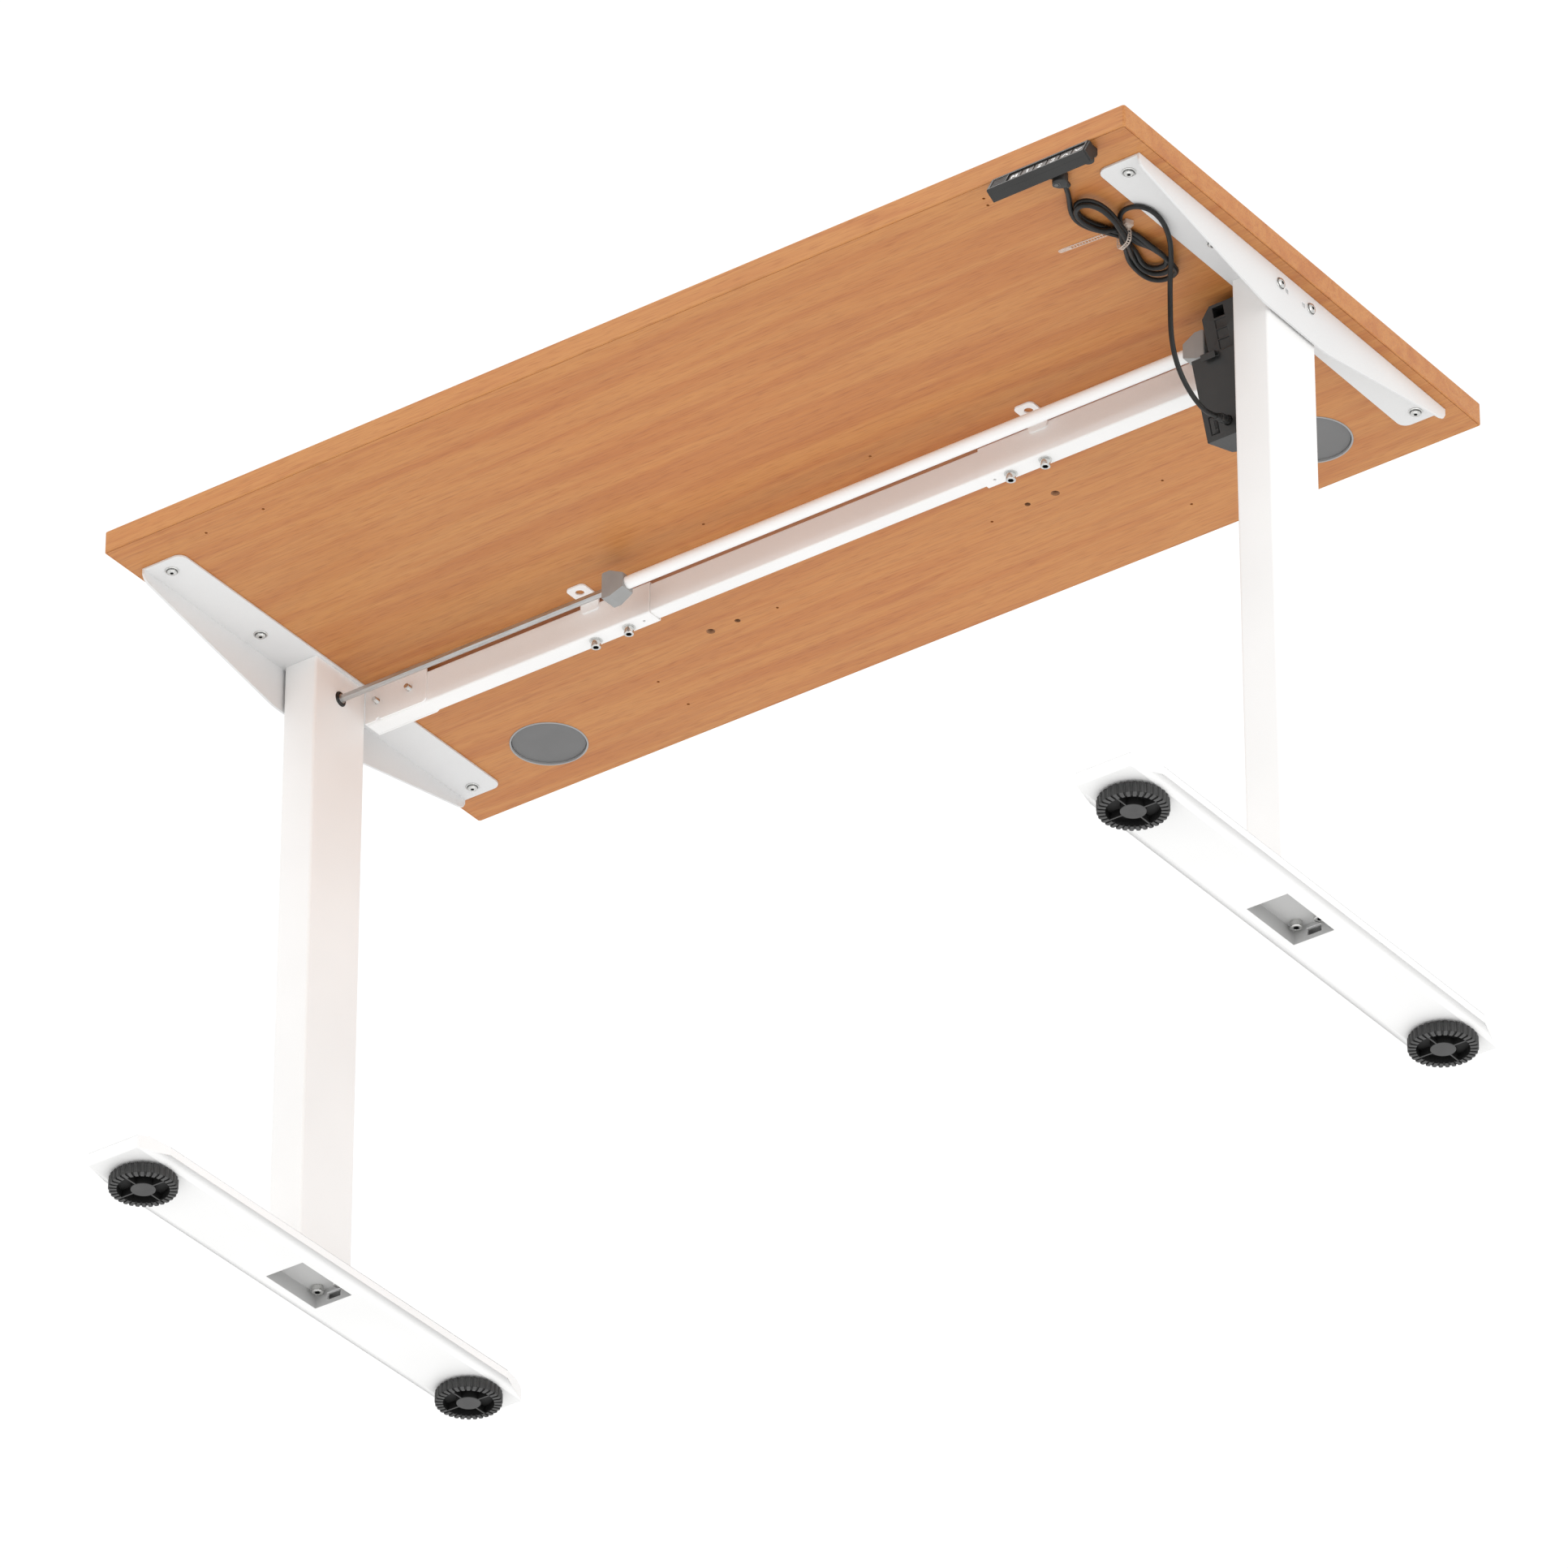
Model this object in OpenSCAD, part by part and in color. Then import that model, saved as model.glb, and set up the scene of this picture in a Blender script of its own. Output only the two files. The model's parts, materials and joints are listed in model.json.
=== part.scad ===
// Electric height-adjustable desk: two telescoping columns, each with a
// lead-screw linear actuator, joined by one drive shaft and one motor unit.
// Millimetres. +X = user's right, -Y = user's side, +Z up, floor at z = 0.

/* [Desktop] */
// desktop width
top_w = 1200; // [1100:1400]
// desktop depth
top_d = 600; // [560:800]
// desktop thickness
top_t = 24; // [18:30]
// height of the desktop underside, desk at its lowest
under_z = 706; // [690:720]

/* [Columns] */
// half distance between column centres
col_x = 562; // [540:580]
// outer tube width (along X)
tube_w = 40; // [36:46]
// outer tube depth (along Y)
tube_d = 80; // [70:90]
// outer tube wall
tube_t = 1.5; // [1.5:2.5]
// height of the drive shaft axis
shaft_z = 673; // [670:682]
// lead screw radius
screw_r = 7; // [6:8]

/* [Feet] */
// foot length
foot_l = 594; // [560:640]
// foot width
foot_w = 80; // [74:90]
// gap from floor to foot underside
foot_z = 14; // [13:18]
// levelling disc radius
level_r = 33; // [28:36]

/* [Rail] */
// rail front face, distance behind the shaft axis
rail_y = 41; // [40:46]
// rail depth
rail_d = 20; // [18:24]
// rail height
rail_h = 36.5; // [30:40]
// rail underside height
rail_z = 662.5; // [655:668]
// half length of the open middle span
rail_open = 195; // [180:220]

/* [Motor unit] */
// backward lean of the motor unit, degrees
lean = 17.5; // [15:20]

/* [Hidden] */
$fn = 48;
e = 0.01;
top_z = under_z + top_t;
plate_t = 2.5;
tube_top = under_z - plate_t;
tube_bot = 38;
flange_x = 587;
hs_tilt = -28.8;
hs_y = -301;
key_x0 = 480.1;
key_p = 14.2;
hub_r = screw_r;

// ---- helpers ----
module rr(w, d, r) {
  square([w - 2*r, d], center = true);
  square([w, d - 2*r], center = true);
  for (x = [-1,1], y = [-1,1]) translate([x*(w/2 - r), y*(d/2 - r)]) circle(r);
}
module rbox(w, d, h, r) { linear_extrude(h) rr(w, d, r); }
module tube(w, d, h, t, r) { linear_extrude(h) difference() { rr(w, d, r); rr(w - 2*t, d - 2*t, r - t + 0.5); } }
// cylinder from point a along X
module xcyl(x0, x1, r) { translate([x0, 0, 0]) rotate([0, 90, 0]) cylinder(h = x1 - x0, r = r); }
module xhex(x0, x1, af) { translate([x0, 0, 0]) rotate([0, 90, 0]) cylinder(h = x1 - x0, r = af/2/cos(30), $fn = 6); }
module ycyl(y0, y1, r) { translate([0, y0, 0]) rotate([-90, 0, 0]) cylinder(h = y1 - y0, r = r); }
module mx(s) { if (s < 0) mirror([1, 0, 0]) children(); else children(); }
// leaning frame of the motor unit, origin on the shaft axis
module unit() { translate([0, 0, shaft_z]) rotate([lean, 0, 0]) children(); }
// tilted frame of the handset, origin on its top front edge
module hs() { translate([0, hs_y, under_z]) rotate([hs_tilt, 0, 0]) children(); }

// ---- desktop ----
module grommet_at() { for (s = [-1,1]) translate([s*456, 225.5, 0]) children(); }
module desktop() {
  color("burlywood") difference() {
    translate([0, 0, under_z]) rbox(top_w - 4, top_d - 4, top_t, 1.5);
    grommet_at() {
      translate([0, 0, under_z - 1]) cylinder(h = top_t + 2, r = 39.5);
      translate([0, 0, top_z - 2]) cylinder(h = 3, r = 44);
    }
    for (x = [-563.5, 563.5], y = [-240, -101, 101, 241])
      translate([x, y, under_z - 1]) cylinder(h = 15.5, r = 2.5, $fn = 24);
    // pilot holes in the underside
    for (p = [[-498,-269],[-428,-269],[429,-281],[426,-270],[98,1],[-100,1],[-128,161],[-301,199],[-301,249],
      [301,199],[301,249],[128,161]]) translate([p[0], p[1], under_z - 1]) cylinder(h = 9, r = 1.5, $fn = 16);
    for (s = [-1,1]) {
      translate([s*173, 156.5, under_z - 1]) cylinder(h = 11, r = 3, $fn = 24);
      translate([s*205.5, 156.5, under_z - 1]) cylinder(h = 11, r = 3, $fn = 24);
      translate([s*205.5, 156.5, under_z - e]) cylinder(h = 2.5, r1 = 4.5, r2 = 3, $fn = 24);
    }
  }
}
module edge_band() {
  color("peru") translate([0, 0, under_z]) linear_extrude(top_t) difference() {
    rr(top_w, top_d, 3); rr(top_w - 4, top_d - 4, 1.5);
  }
}
module grommet_sleeves() {
  color("gray") grommet_at() difference() {
    union() {
      translate([0, 0, under_z - 0.8]) cylinder(h = top_t + 0.8, r = 39.5);
      translate([0, 0, top_z - 2]) cylinder(h = 2, r = 44);
    }
    translate([0, 0, under_z - 2]) cylinder(h = top_t + 6, r = 37.7);
  }
}
module grommet_cap(s) {
  color("dimgray") translate([s*456, 225.5, 0]) {
    translate([0, 0, under_z + 1.5]) cylinder(h = 2, r = 37.3);
    translate([0, 0, under_z + 3]) cylinder(h = top_t - 5, r = 8);
    translate([0, 0, top_z - 2.4]) difference() {
      cylinder(h = 2, r = 37.3);
      translate([-9, -40, -1]) cube([18, 10, 4]);
    }
  }
}
module grommet_cap_left() { grommet_cap(-1); }
module grommet_cap_right() { grommet_cap(1); }

// ---- side brackets (right hand shown, mirrored for the left) ----
module side_bracket() {
  difference() {
    union() {
      // plate under the desktop
      translate([0, 0, tube_top]) linear_extrude(plate_t) union() {
        translate([538.5, -247]) square([48.5, 494]);
        translate([548.5, -257]) square([38.5, 514]);
        for (y = [-1,1]) translate([548.5, y*247]) circle(10);
      }
      // tapering outer flange
      translate([flange_x, 0, 0]) rotate([90, 0, -90]) linear_extrude(plate_t)
        polygon([[-257, under_z], [-257, 699], [-254, 694], [-248, 691.5], [-60, 656], [-52, 654.8], [-44, 654.5],
          [44, 654.5], [52, 654.8], [60, 656], [248, 691.5], [254, 694], [257, 699], [257, under_z]]);
      // packing plate between flange and tube
      translate([col_x + tube_w/2, -30, 662]) cube([flange_x - plate_t - col_x - tube_w/2, 60, 38]);
    }
    for (y = [-240, -101, 101, 241]) translate([563.5, y, tube_top - 1]) cylinder(h = 6, r = 2.6, $fn = 24);
    for (y = [-1,1]) {
      translate([0, y*25.5, 690.5]) xcyl(570, 600, 3.1);
      translate([flange_x - plate_t - e, y*14 - 2.5, 686]) cube([plate_t + 1, 5, 5]);
    }
  }
}
module side_bracket_left() { color("white") mx(-1) side_bracket(); }
module side_bracket_right() { color("white") side_bracket(); }
module bracket_screws() {
  color("silver") for (s = [-1,1], y = [-240, -101, 101, 241]) translate([s*563.5, y, 0])
    if (abs(y) > 30) difference() {
      union() {
        translate([0, 0, tube_top - 1.2]) cylinder(h = 1.2, r = 7);
        translate([0, 0, tube_top - 3.4]) cylinder(h = 2.3, r = 5);
        translate([0, 0, tube_top - e]) cylinder(h = 16, r = 2.4, $fn = 24);
      }
      translate([0, 0, tube_top - 4]) cylinder(h = 2.4, r = 1.8, $fn = 6);
    }
}
module column_bolts() {
  color("silver") for (s = [-1,1], y = [-1,1]) mx(s) translate([0, y*25.5, 690.5]) difference() {
    union() {
      xcyl(flange_x, flange_x + 1, 6);
      xcyl(flange_x + 1, flange_x + 3.2, 5);
      xcyl(577, flange_x, 3);
    }
    xhex(flange_x + 1.6, flange_x + 4, 3);
  }
}

// ---- cross rail ----
// flat tongue, w wide, l long towards -y, free corners rounded
module tongue(w, l, r) {
  translate([0, -l + r]) square([w, l - r]);
  translate([r, -l]) square([w - 2*r, l]);
  for (x = [r, w - r]) translate([x, -l + r]) circle(r);
}
module rail_outer() {
  difference() {
    union() {
      translate([0, rail_y + rail_d/2, rail_z + rail_h/2]) rotate([90, 0, 90]) translate([0, 0, rail_open])
        tube(rail_d, rail_h, 539.8 - rail_open, 1.5, 2.5);
      // L tab under the desktop
      translate([255, rail_y, under_z - 2.2]) linear_extrude(2.2) tongue(22, rail_y - 13.5, 5);
      translate([255, rail_y, under_z]) rotate([90, 0, 0]) linear_extrude(2) tongue(22, 15.5, 4);
    }
    translate([266.5, 24.3, under_z - 5]) cylinder(h = 8, r = 4.5);
    for (x = [226.5, 266.5]) translate([x, rail_y + rail_d/2, rail_z - 2]) cylinder(h = 6, r = 3.1);
    translate([208, rail_y + rail_d/2, rail_z - 2]) cylinder(h = 6, r = 1.5, $fn = 16);
    for (x = [487, 527]) translate([x, 0, 685]) ycyl(rail_y - 5, rail_y + rail_d + 5, 3.1);
  }
}
module rail_outer_left() { color("whitesmoke") mx(-1) rail_outer(); }
module rail_outer_right() { color("whitesmoke") rail_outer(); }
module rail_inner() {
  color("white") translate([0, rail_y + rail_d/2, rail_z + rail_h/2]) rotate([90, 0, 90]) translate([0, 0, -330])
    tube(rail_d - 3.6, rail_h - 3.6, 660, 1.5, 2.2);
}
module rail_bolts() {
  color("silver") for (s = [-1,1], x = [226.5, 266.5]) translate([s*x, rail_y + rail_d/2, 0]) difference() {
    union() {
      translate([0, 0, rail_z - 1.2]) cylinder(h = 1.2, r = 6.5);
      translate([0, 0, rail_z - 8.2]) cylinder(h = 7.2, r = 5);
      translate([0, 0, rail_z - e]) cylinder(h = 1.75, r = 3, $fn = 24);
    }
    translate([0, 0, rail_z - 9]) cylinder(h = 4, r = 2.9, $fn = 6);
  }
}
module rail_end_brackets() {
  color("white") for (s = [-1,1]) mx(s) difference() {
    union() {
      // plates before and behind the rail, joined by a web on the column
      for (y = [rail_y, rail_y + rail_d + 2]) translate([542, y, 663.5]) rotate([90, 0, 0]) linear_extrude(2) {
        translate([-70.5, 0]) square([70.5, 39]);
        translate([-75.5, 5]) square([10, 34]);
        translate([-70.5, 5]) circle(5);
      }
      translate([540, rail_y - 2, 663.5]) cube([2, rail_d + 4, 39]);
    }
    // notch in the lower edge
    translate([526, 0, 663.5]) ycyl(rail_y - 5, rail_y + 0.5, 2.5);
    for (x = [487, 527]) translate([x, 0, 685]) ycyl(rail_y - 5, rail_y + rail_d + 5, 3.1);
  }
}
module end_bracket_bolts() {
  color("silver") for (s = [-1,1], x = [487, 527]) translate([s*x, 0, 685]) {
    ycyl(rail_y - 8, rail_y + rail_d + 4.5, 3);
    ycyl(rail_y + rail_d + 2, rail_y + rail_d + 5.5, 5.5);
  }
}

// ---- columns ----
module outer_tube() {
  difference() {
    translate([col_x, 0, tube_bot]) tube(tube_w, tube_d, tube_top - tube_bot, tube_t, 3.5);
    translate([0, 0, shaft_z]) xcyl(535, 550, 8);
    for (y = [-1,1]) translate([0, y*25.5, 690.5]) xcyl(575, 590, 3.1);
  }
}
module outer_tube_left() { color("white") mx(-1) outer_tube(); }
module outer_tube_right() { color("white") outer_tube(); }
module gear_carriers() {
  color("dimgray") for (s = [-1,1]) mx(s) translate([col_x, 0, 0]) difference() {
    translate([0, 0, 645]) rbox(tube_w - 2*tube_t, tube_d - 2*tube_t, 55, 2.5);
    translate([-17, -18, 655]) cube([32.5, 36, 60]);
    for (y = [-1,1]) translate([-15.5, y*29.5 - 7, 650]) cube([31, 14, 60]);
    translate([0, 0, 640]) cylinder(h = 20, r = 6.05);
    translate([0, 0, shaft_z]) xcyl(-25, -10, 4.98);
    for (y = [-1,1]) translate([0, y*25.5, 690.5]) xcyl(10, 25, 3.1);
  }
}
module column_glides() {
  color("gainsboro") for (s = [-1,1]) translate([s*col_x, 0, tube_bot + 2]) linear_extrude(40) difference() {
    rr(tube_w - 2*tube_t, tube_d - 2*tube_t, 2.5);
    rr(30.6, 70.6, 2.8);
  }
}
module inner_tube() {
  difference() {
    translate([col_x, 0, 37]) tube(30, 70, 603, 2, 2.5);
    for (y = [-1,1]) translate([0, 0, 0]) translate([col_x, y*37, 615]) rotate([90, 0, 0]) cylinder(h = 6, r = 3, center = true);
  }
  // foot mounting plate
  difference() {
    translate([col_x, 0, 34]) rbox(38, 78, 3, 2);
    for (x = [-1,1], y = [-1,1]) translate([col_x + x*13, y*29.5, 30]) cylinder(h = 6.95, r = 3.1);
  }
}
module inner_tube_left() { color("white") mx(-1) inner_tube(); }
module inner_tube_right() { color("white") inner_tube(); }
module lift_nut(s) {
  color("ivory") translate([s*col_x, 0, 0]) difference() {
    translate([0, 0, 598]) rbox(25.9, 65.9, 42, 1);
    translate([0, 0, 590]) cylinder(h = 60, r = screw_r + 0.05);
    for (y = [-1,1]) translate([-9, y*22 - 7, 604]) cube([18, 14, 60]);
  }
}
module lift_nut_left() { lift_nut(-1); }
module lift_nut_right() { lift_nut(1); }
module lead_screw(s) {
  color("silver") translate([s*col_x, 0, 0]) {
    translate([0, 0, 132]) cylinder(h = 512.5, r = screw_r);
    translate([0, 0, 128]) cylinder(h = 4, r1 = 5, r2 = screw_r);
    translate([0, 0, 644]) cylinder(h = shaft_z - 652, r = 6);
  }
}
module lead_screw_left() { lead_screw(-1); }
module lead_screw_right() { lead_screw(1); }
// 45 degree bevel gear, apex at the origin, opening downwards
module bevel() {
  difference() {
    union() {
      translate([0, 0, -14]) cylinder(h = 7, r1 = 13.7, r2 = 6.7);
      translate([0, 0, -16.5]) cylinder(h = 2.5, r = 9);
    }
    translate([0, 0, -20]) cylinder(h = 30, r = 4.9);
    for (a = [0:20:340]) rotate([0, 0, a]) translate([10.4, 0, -10.3]) rotate([0, -45, 0]) cube([1.8, 1.3, 14], center = true);
  }
}
module screw_bevel(s) {
  color("slategray") translate([s*col_x, 0, shaft_z]) difference() {
    bevel();
    translate([0, 0, -20]) cylinder(h = 12, r = 6);
  }
}
module screw_bevel_left() { screw_bevel(-1); }
module screw_bevel_right() { screw_bevel(1); }

// ---- drive line ----
module hex_shaft() {
  color("silver") translate([0, 0, shaft_z]) {
    xhex(-540, -205, 7);
    xcyl(-553, -540, 4.9);
    xcyl(470, 553, 4.9);
  }
}
module shaft_tube() {
  color("white") translate([0, 0, shaft_z]) difference() { xcyl(-204.5, 480, 6.5); xcyl(-210, 490, 5.2); }
}
// faceted clamp, wide at x = 0 and tapering towards x = 25
module clamp() {
  intersection() {
    translate([0, 10, 0]) rotate([90, 0, 0]) linear_extrude(20)
      polygon([[0, -13.5], [2, -15], [10, -15], [25, -8], [25, 8], [10, 15], [2, 15], [0, 13.5]]);
    translate([0, 0, -16]) linear_extrude(32)
      polygon([[0, -9], [1, -9.9], [11, -9.9], [26, -8.2], [26, 8.2], [11, 9.9], [1, 9.9], [0, 9]]);
  }
}
module shaft_couplings() {
  color("gray") translate([0, 0, shaft_z]) difference() {
    union() {
      translate([-215, 0, 0]) clamp();
      translate([490, 0, 0]) mirror([1, 0, 0]) clamp();
    }
    xcyl(-204.5, 480.1, 6.5);
    xcyl(479, 495, 4.9);
    xhex(-230, -204, 7);
  }
}
module shaft_bevels() {
  color("slategray") for (s = [-1,1]) mx(s) translate([col_x, 0, shaft_z]) rotate([0, 90, 0]) bevel();
}
module worm_wheel() {
  color("goldenrod") translate([506, 0, shaft_z]) difference() {
    xcyl(0, 8, 9);
    xcyl(-1, 9, 4.9);
    for (a = [0:18:342]) rotate([a, 0, 0]) translate([4, 0, 9]) cube([9, 1.2, 1.6], center = true);
  }
}
module worm_shaft() {
  color("goldenrod") unit() translate([510, -13, 0]) {
    translate([0, 0, -10]) cylinder(h = 20, r = 3.6);
    translate([0, 0, -34]) cylinder(h = 24.5, r = 2.5);
  }
}

// ---- motor unit ----
module gearbox_housing() {
  color("black") unit() difference() {
    union() {
      translate([498, -19.5, -18]) cube([40, 31.5, 31]);
      // chamfered upper part
      translate([0, 8, 0]) rotate([90, 0, 0]) linear_extrude(27.5)
        polygon([[498, 12.9], [498, 20], [508, 30], [538, 30], [538, 12.9]]);
      // shaft boss
      xcyl(494, 498.1, 8.5);
      // mounting flange on the column
      translate([537.9, -24, -18]) cube([4.1, 40, 42]);
    }
    translate([500.5, -17.6, -19]) cube([27, 28, 34]);
    xcyl(470, 550, 4.98);
    // ribbed pocket in the front
    for (z = [-14, -4, 6]) translate([511, -21, z]) cube([12, 2.5, 8.6]);
    translate([511, -20.5, 17]) cube([12, 20, 10]);
    for (y = [-20, 12]) translate([0, y, 16]) xcyl(535, 545, 2);
  }
}
module motor_housing() {
  color("black") unit() difference() {
    union() {
      translate([482, -27, -101]) cube([56, 46, 82.9]);
      // front clip
      translate([496, -32, -22.1]) cube([16, 5.1, 4]);
      translate([496, -33.5, -25]) cube([16, 1.6, 6.9]);
    }
    translate([483.8, -25.6, -99]) cube([52.4, 42.8, 79]);
    // opening to the gearbox
    translate([501, -17, -22]) cube([26, 27, 6]);
    // bottom edge chamfers
    translate([482, 19, -101]) rotate([0, 0, 45]) cube([4.2, 4.2, 400], center = true);
    // power inlet outline and slot
    translate([488, -27.5, -95]) difference() { cube([9, 1, 18]); translate([0.6, -1, 0.6]) cube([7.8, 3, 16.8]); }
    translate([493.5, -27.5, -90]) cube([1.6, 1, 8]);
    // socket for the handset plug
    translate([508, -30, -86.5]) ycyl(0, 6, 4.6);
  }
}
module motor_can() {
  color("silver") unit() translate([510, -13, -78]) difference() {
    union() {
      cylinder(h = 55, r = 12.4);
      translate([-25.5, -6, 54.5]) cube([51, 29, 2.5]);
    }
    translate([0, 0, 40]) cylinder(h = 30, r = 2.56);
  }
}
module control_board() {
  color("green") unit() {
    translate([485, 6, -96]) cube([50, 1.6, 66]);
    translate([490, -0.8, -94]) cube([14, 6.9, 12]);
    translate([526, -4, -60]) cube([8, 10.1, 20]);
    translate([485, 7.5, -60]) cube([50, 9.7, 3]);
  }
}

// ---- handset ----
module handset_case() {
  color("black") hs() difference() {
    union() {
      translate([452.5, 0, -19.8]) cube([107.5, 13.5, 19.8]);
      translate([451, 1.5, -18.3]) cube([110.5, 13.5, 18.3]);
    }
    // key pocket and display window
    translate([473, -1, -17.4]) cube([85.2, 7.5, 14.2]);
    translate([455.5, -1, -17.4]) cube([16, 2.2, 14.2]);
  }
}
module handset_base() {
  color("black") {
    translate([453, 0, 0]) rotate([90, 0, 90]) linear_extrude(106)
      polygon([[-300.9, under_z], [hs_y + 15*cos(28.8), under_z - 15*sin(28.8)],
        [hs_y + 15*cos(28.8) - 4*sin(28.8), under_z - 15*sin(28.8) - 4*cos(28.8)], [-286, 695.5], [-284, 699], [-284, under_z]]);
    for (x = [504, 544]) difference() {
      union() {
        translate([x, -278, under_z - 4]) cylinder(h = 4, r = 6);
        translate([x - 6, -286, under_z - 4]) cube([12, 8, 4]);
      }
      translate([x, -278, under_z - 6]) cylinder(h = 8, r = 1.8, $fn = 24);
    }
  }
}
module key(i) {
  color("dimgray") hs() translate([key_x0 + i*key_p, 0, -10.3]) {
    translate([-6.7, 1.4, -6.7]) cube([13.4, 3.4, 13.4]);
    translate([-3, 4.7, -3]) cube([6, 0.6, 6]);
  }
}
module key_memory() { key(0); }
module key_one() { key(1); }
module key_two() { key(2); }
module key_three() { key(3); }
module key_up() { key(4); }
module key_down() { key(5); }

// ---- cord, plug, tie ----
module cord_gland() {
  color("black") difference() {
    union() {
      translate([508, -271, 694.7]) cylinder(h = 11.3, r = 7.5);
      translate([510, -271, 698.5]) ycyl(0, 10, 4.2);
    }
    translate([510, -272, 698.5]) ycyl(0, 20, 2.6);
    translate([503.9, -278, 690]) cylinder(h = 20, r = 1.8, $fn = 24);
  }
}
module cord_plug() {
  color("black") unit() translate([508, -26.5, -86.5]) { ycyl(-14, 2, 4.4); ycyl(-22, -14, 3.6); }
}
// round bar from a to b, running a little past both
module bar(a, b, r) {
  d = b - a; l = norm(d);
  translate(a) rotate([0, acos(d[2]/l), atan2(d[1], d[0])]) translate([0, 0, -0.5]) cylinder(h = l + 1, r = r);
}
// cord along points p; every other bar is a touch thinner
module run(p, r) {
  for (i = [0:len(p) - 2]) bar(p[i], p[i + 1], i % 2 == 0 ? r : r - 0.2);
}
module cord_lead() {
  color("black") run([[510, -271.5, 698.5], [507, -256, 699.2], [495, -237.5, 701], [484, -216, 702.2],
    [485, -196, 702.4], [492, -180, 702]], 2.5);
}
// space taken by the figure-eight hank
module cord_hank() {
  color("black") translate([0, 0, 692]) linear_extrude(13) difference() {
    union() {
      translate([503.5, -214]) circle(19.5);
      translate([500.5, -104]) circle(23);
      polygon([[485.5, -206], [521.5, -206], [514.5, -166], [522, -140], [522, -112], [478.5, -112], [496, -158], [494, -174]]);
    }
    translate([505, -210]) circle(8);
    translate([503, -118]) circle(6);
  }
}
module cord_run() {
  color("black") run([[515.5, -179.5, 697], [526, -199.5, 697], [540, -201, 699], [548, -176, 700], [541, -143, 697],
    [524, -114, 691.5], [512, -98, 668], [508, -91, 626], [508, -72, 587], [508, -45, 573.5], [508, -20.5, 575.8]], 2.5);
}
module cable_tie() {
  color("gainsboro") {
    translate([505.5, -163.5, 696.6]) rotate([0, 0, -24]) {
      difference() {
        rotate([90, 0, 0]) translate([0, 0, -2]) linear_extrude(4) rr(19.4, 18.6, 5);
        rotate([90, 0, 0]) translate([0, 0, -4]) linear_extrude(8) rr(16.6, 15.8, 4);
      }
      // locking head beside the bundle
      translate([11, -8, 3.6]) cube([9, 9, 5.2]);
      translate([9, -2, 3.6]) cube([3, 4, 1.5]);
    }
    translate([437, -180, 703.4]) rotate([0, 0, 2]) difference() {
      cube([60, 5, 1.2]);
      for (i = [0:13]) translate([14 + i*3.2, 1.2, -1]) cube([1.9, 2.6, 4]);
    }
  }
}

// ---- feet ----
module foot() {
  difference() {
    union() {
      // side band with chamfered corners
      translate([col_x, 0, foot_z + 5]) linear_extrude(9) foot_plan(foot_w, foot_l);
      // lower body with sloping long sides
      intersection() {
        translate([col_x, foot_l/2, 0]) rotate([90, 0, 0]) linear_extrude(foot_l)
          polygon([[-29.5, foot_z], [29.5, foot_z], [foot_w/2, foot_z + 5.01], [-foot_w/2, foot_z + 5.01]]);
        translate([col_x, 0, foot_z - 1]) linear_extrude(8) foot_plan(foot_w, foot_l);
      }
      // crowned top
      intersection() {
        translate([col_x, 0, 0]) rotate([90, 0, 0]) translate([0, 0, -foot_l/2]) linear_extrude(foot_l)
          polygon([[-foot_w/2, foot_z + 13.99], [foot_w/2, foot_z + 13.99], [28, 34], [-28, 34]]);
        translate([col_x - foot_w/2, 0, 0]) rotate([90, 0, 90]) linear_extrude(foot_w)
          polygon([[-foot_l/2, foot_z + 13.99], [foot_l/2, foot_z + 13.99], [foot_l/2 - 24, 34], [-foot_l/2 + 24, 34]]);
        translate([col_x, 0, foot_z + 13.9]) linear_extrude(8) foot_plan(foot_w, foot_l);
      }
    }
    // recess under the column
    translate([col_x - 22, -38, foot_z - 1]) cube([44, 76, 18]);
    for (x = [-1,1], y = [-1,1]) translate([col_x + x*13, y*29.5, 20]) cylinder(h = 20, r = 3.1);
    // hollow arms, open to the recess through a slot
    for (y = [0,1]) mirror([0, y, 0]) difference() {
      union() {
        translate([col_x - 26, 42, foot_z + 2.5]) cube([52, 240, 14]);
        translate([col_x - 8, 30, foot_z + 5]) cube([16, 20, 8]);
      }
      translate([col_x, 251, 0]) cylinder(h = 40, r = 9);
    }
    // leveller stud sockets
    for (y = [-1,1]) translate([col_x, y*251, foot_z - 1]) cylinder(h = 14, r = 5.05);
  }
}
module foot_plan(w, l) {
  union() {
    polygon([[-w/2 + 11, -l/2], [w/2 - 11, -l/2], [w/2, -l/2 + 36], [w/2, l/2 - 36], [w/2 - 11, l/2],
      [-w/2 + 11, l/2], [-w/2, l/2 - 36], [-w/2, -l/2 + 36]]);
  }
}
module foot_left() { color("white") mx(-1) foot(); }
module foot_right() { color("white") foot(); }
module foot_bolts(s) {
  color("silver") for (x = [-1,1], y = [-1,1]) translate([s*col_x + x*13, y*29.5, 0]) difference() {
    union() {
      translate([0, 0, 24.5]) cylinder(h = 6.5, r = 6);
      translate([0, 0, 30.9]) cylinder(h = 6, r = 3, $fn = 24);
    }
    translate([0, 0, 24]) cylinder(h = 3.5, r = 2.6, $fn = 6);
  }
}
module foot_bolts_left() { foot_bolts(-1); }
module foot_bolts_right() { foot_bolts(1); }
module leveller(s, y) {
  color("black") translate([s*col_x, y*251, 0]) {
    difference() {
      cylinder(h = 12, r = level_r);
      translate([0, 0, -1]) difference() {
        cylinder(h = 9, r = 25);
        cylinder(h = 9, r = 12);
        for (a = [0, 90]) rotate([0, 0, a]) cube([60, 2, 20], center = true);
      }
      for (a = [0:11.25:350]) rotate([0, 0, a]) translate([level_r + 0.4, 0, 6]) cube([3, 3, 14], center = true);
    }
    translate([0, 0, 11]) cylinder(h = 14, r = 5);
  }
}
module leveller_front_left() { leveller(-1, -1); }
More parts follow.
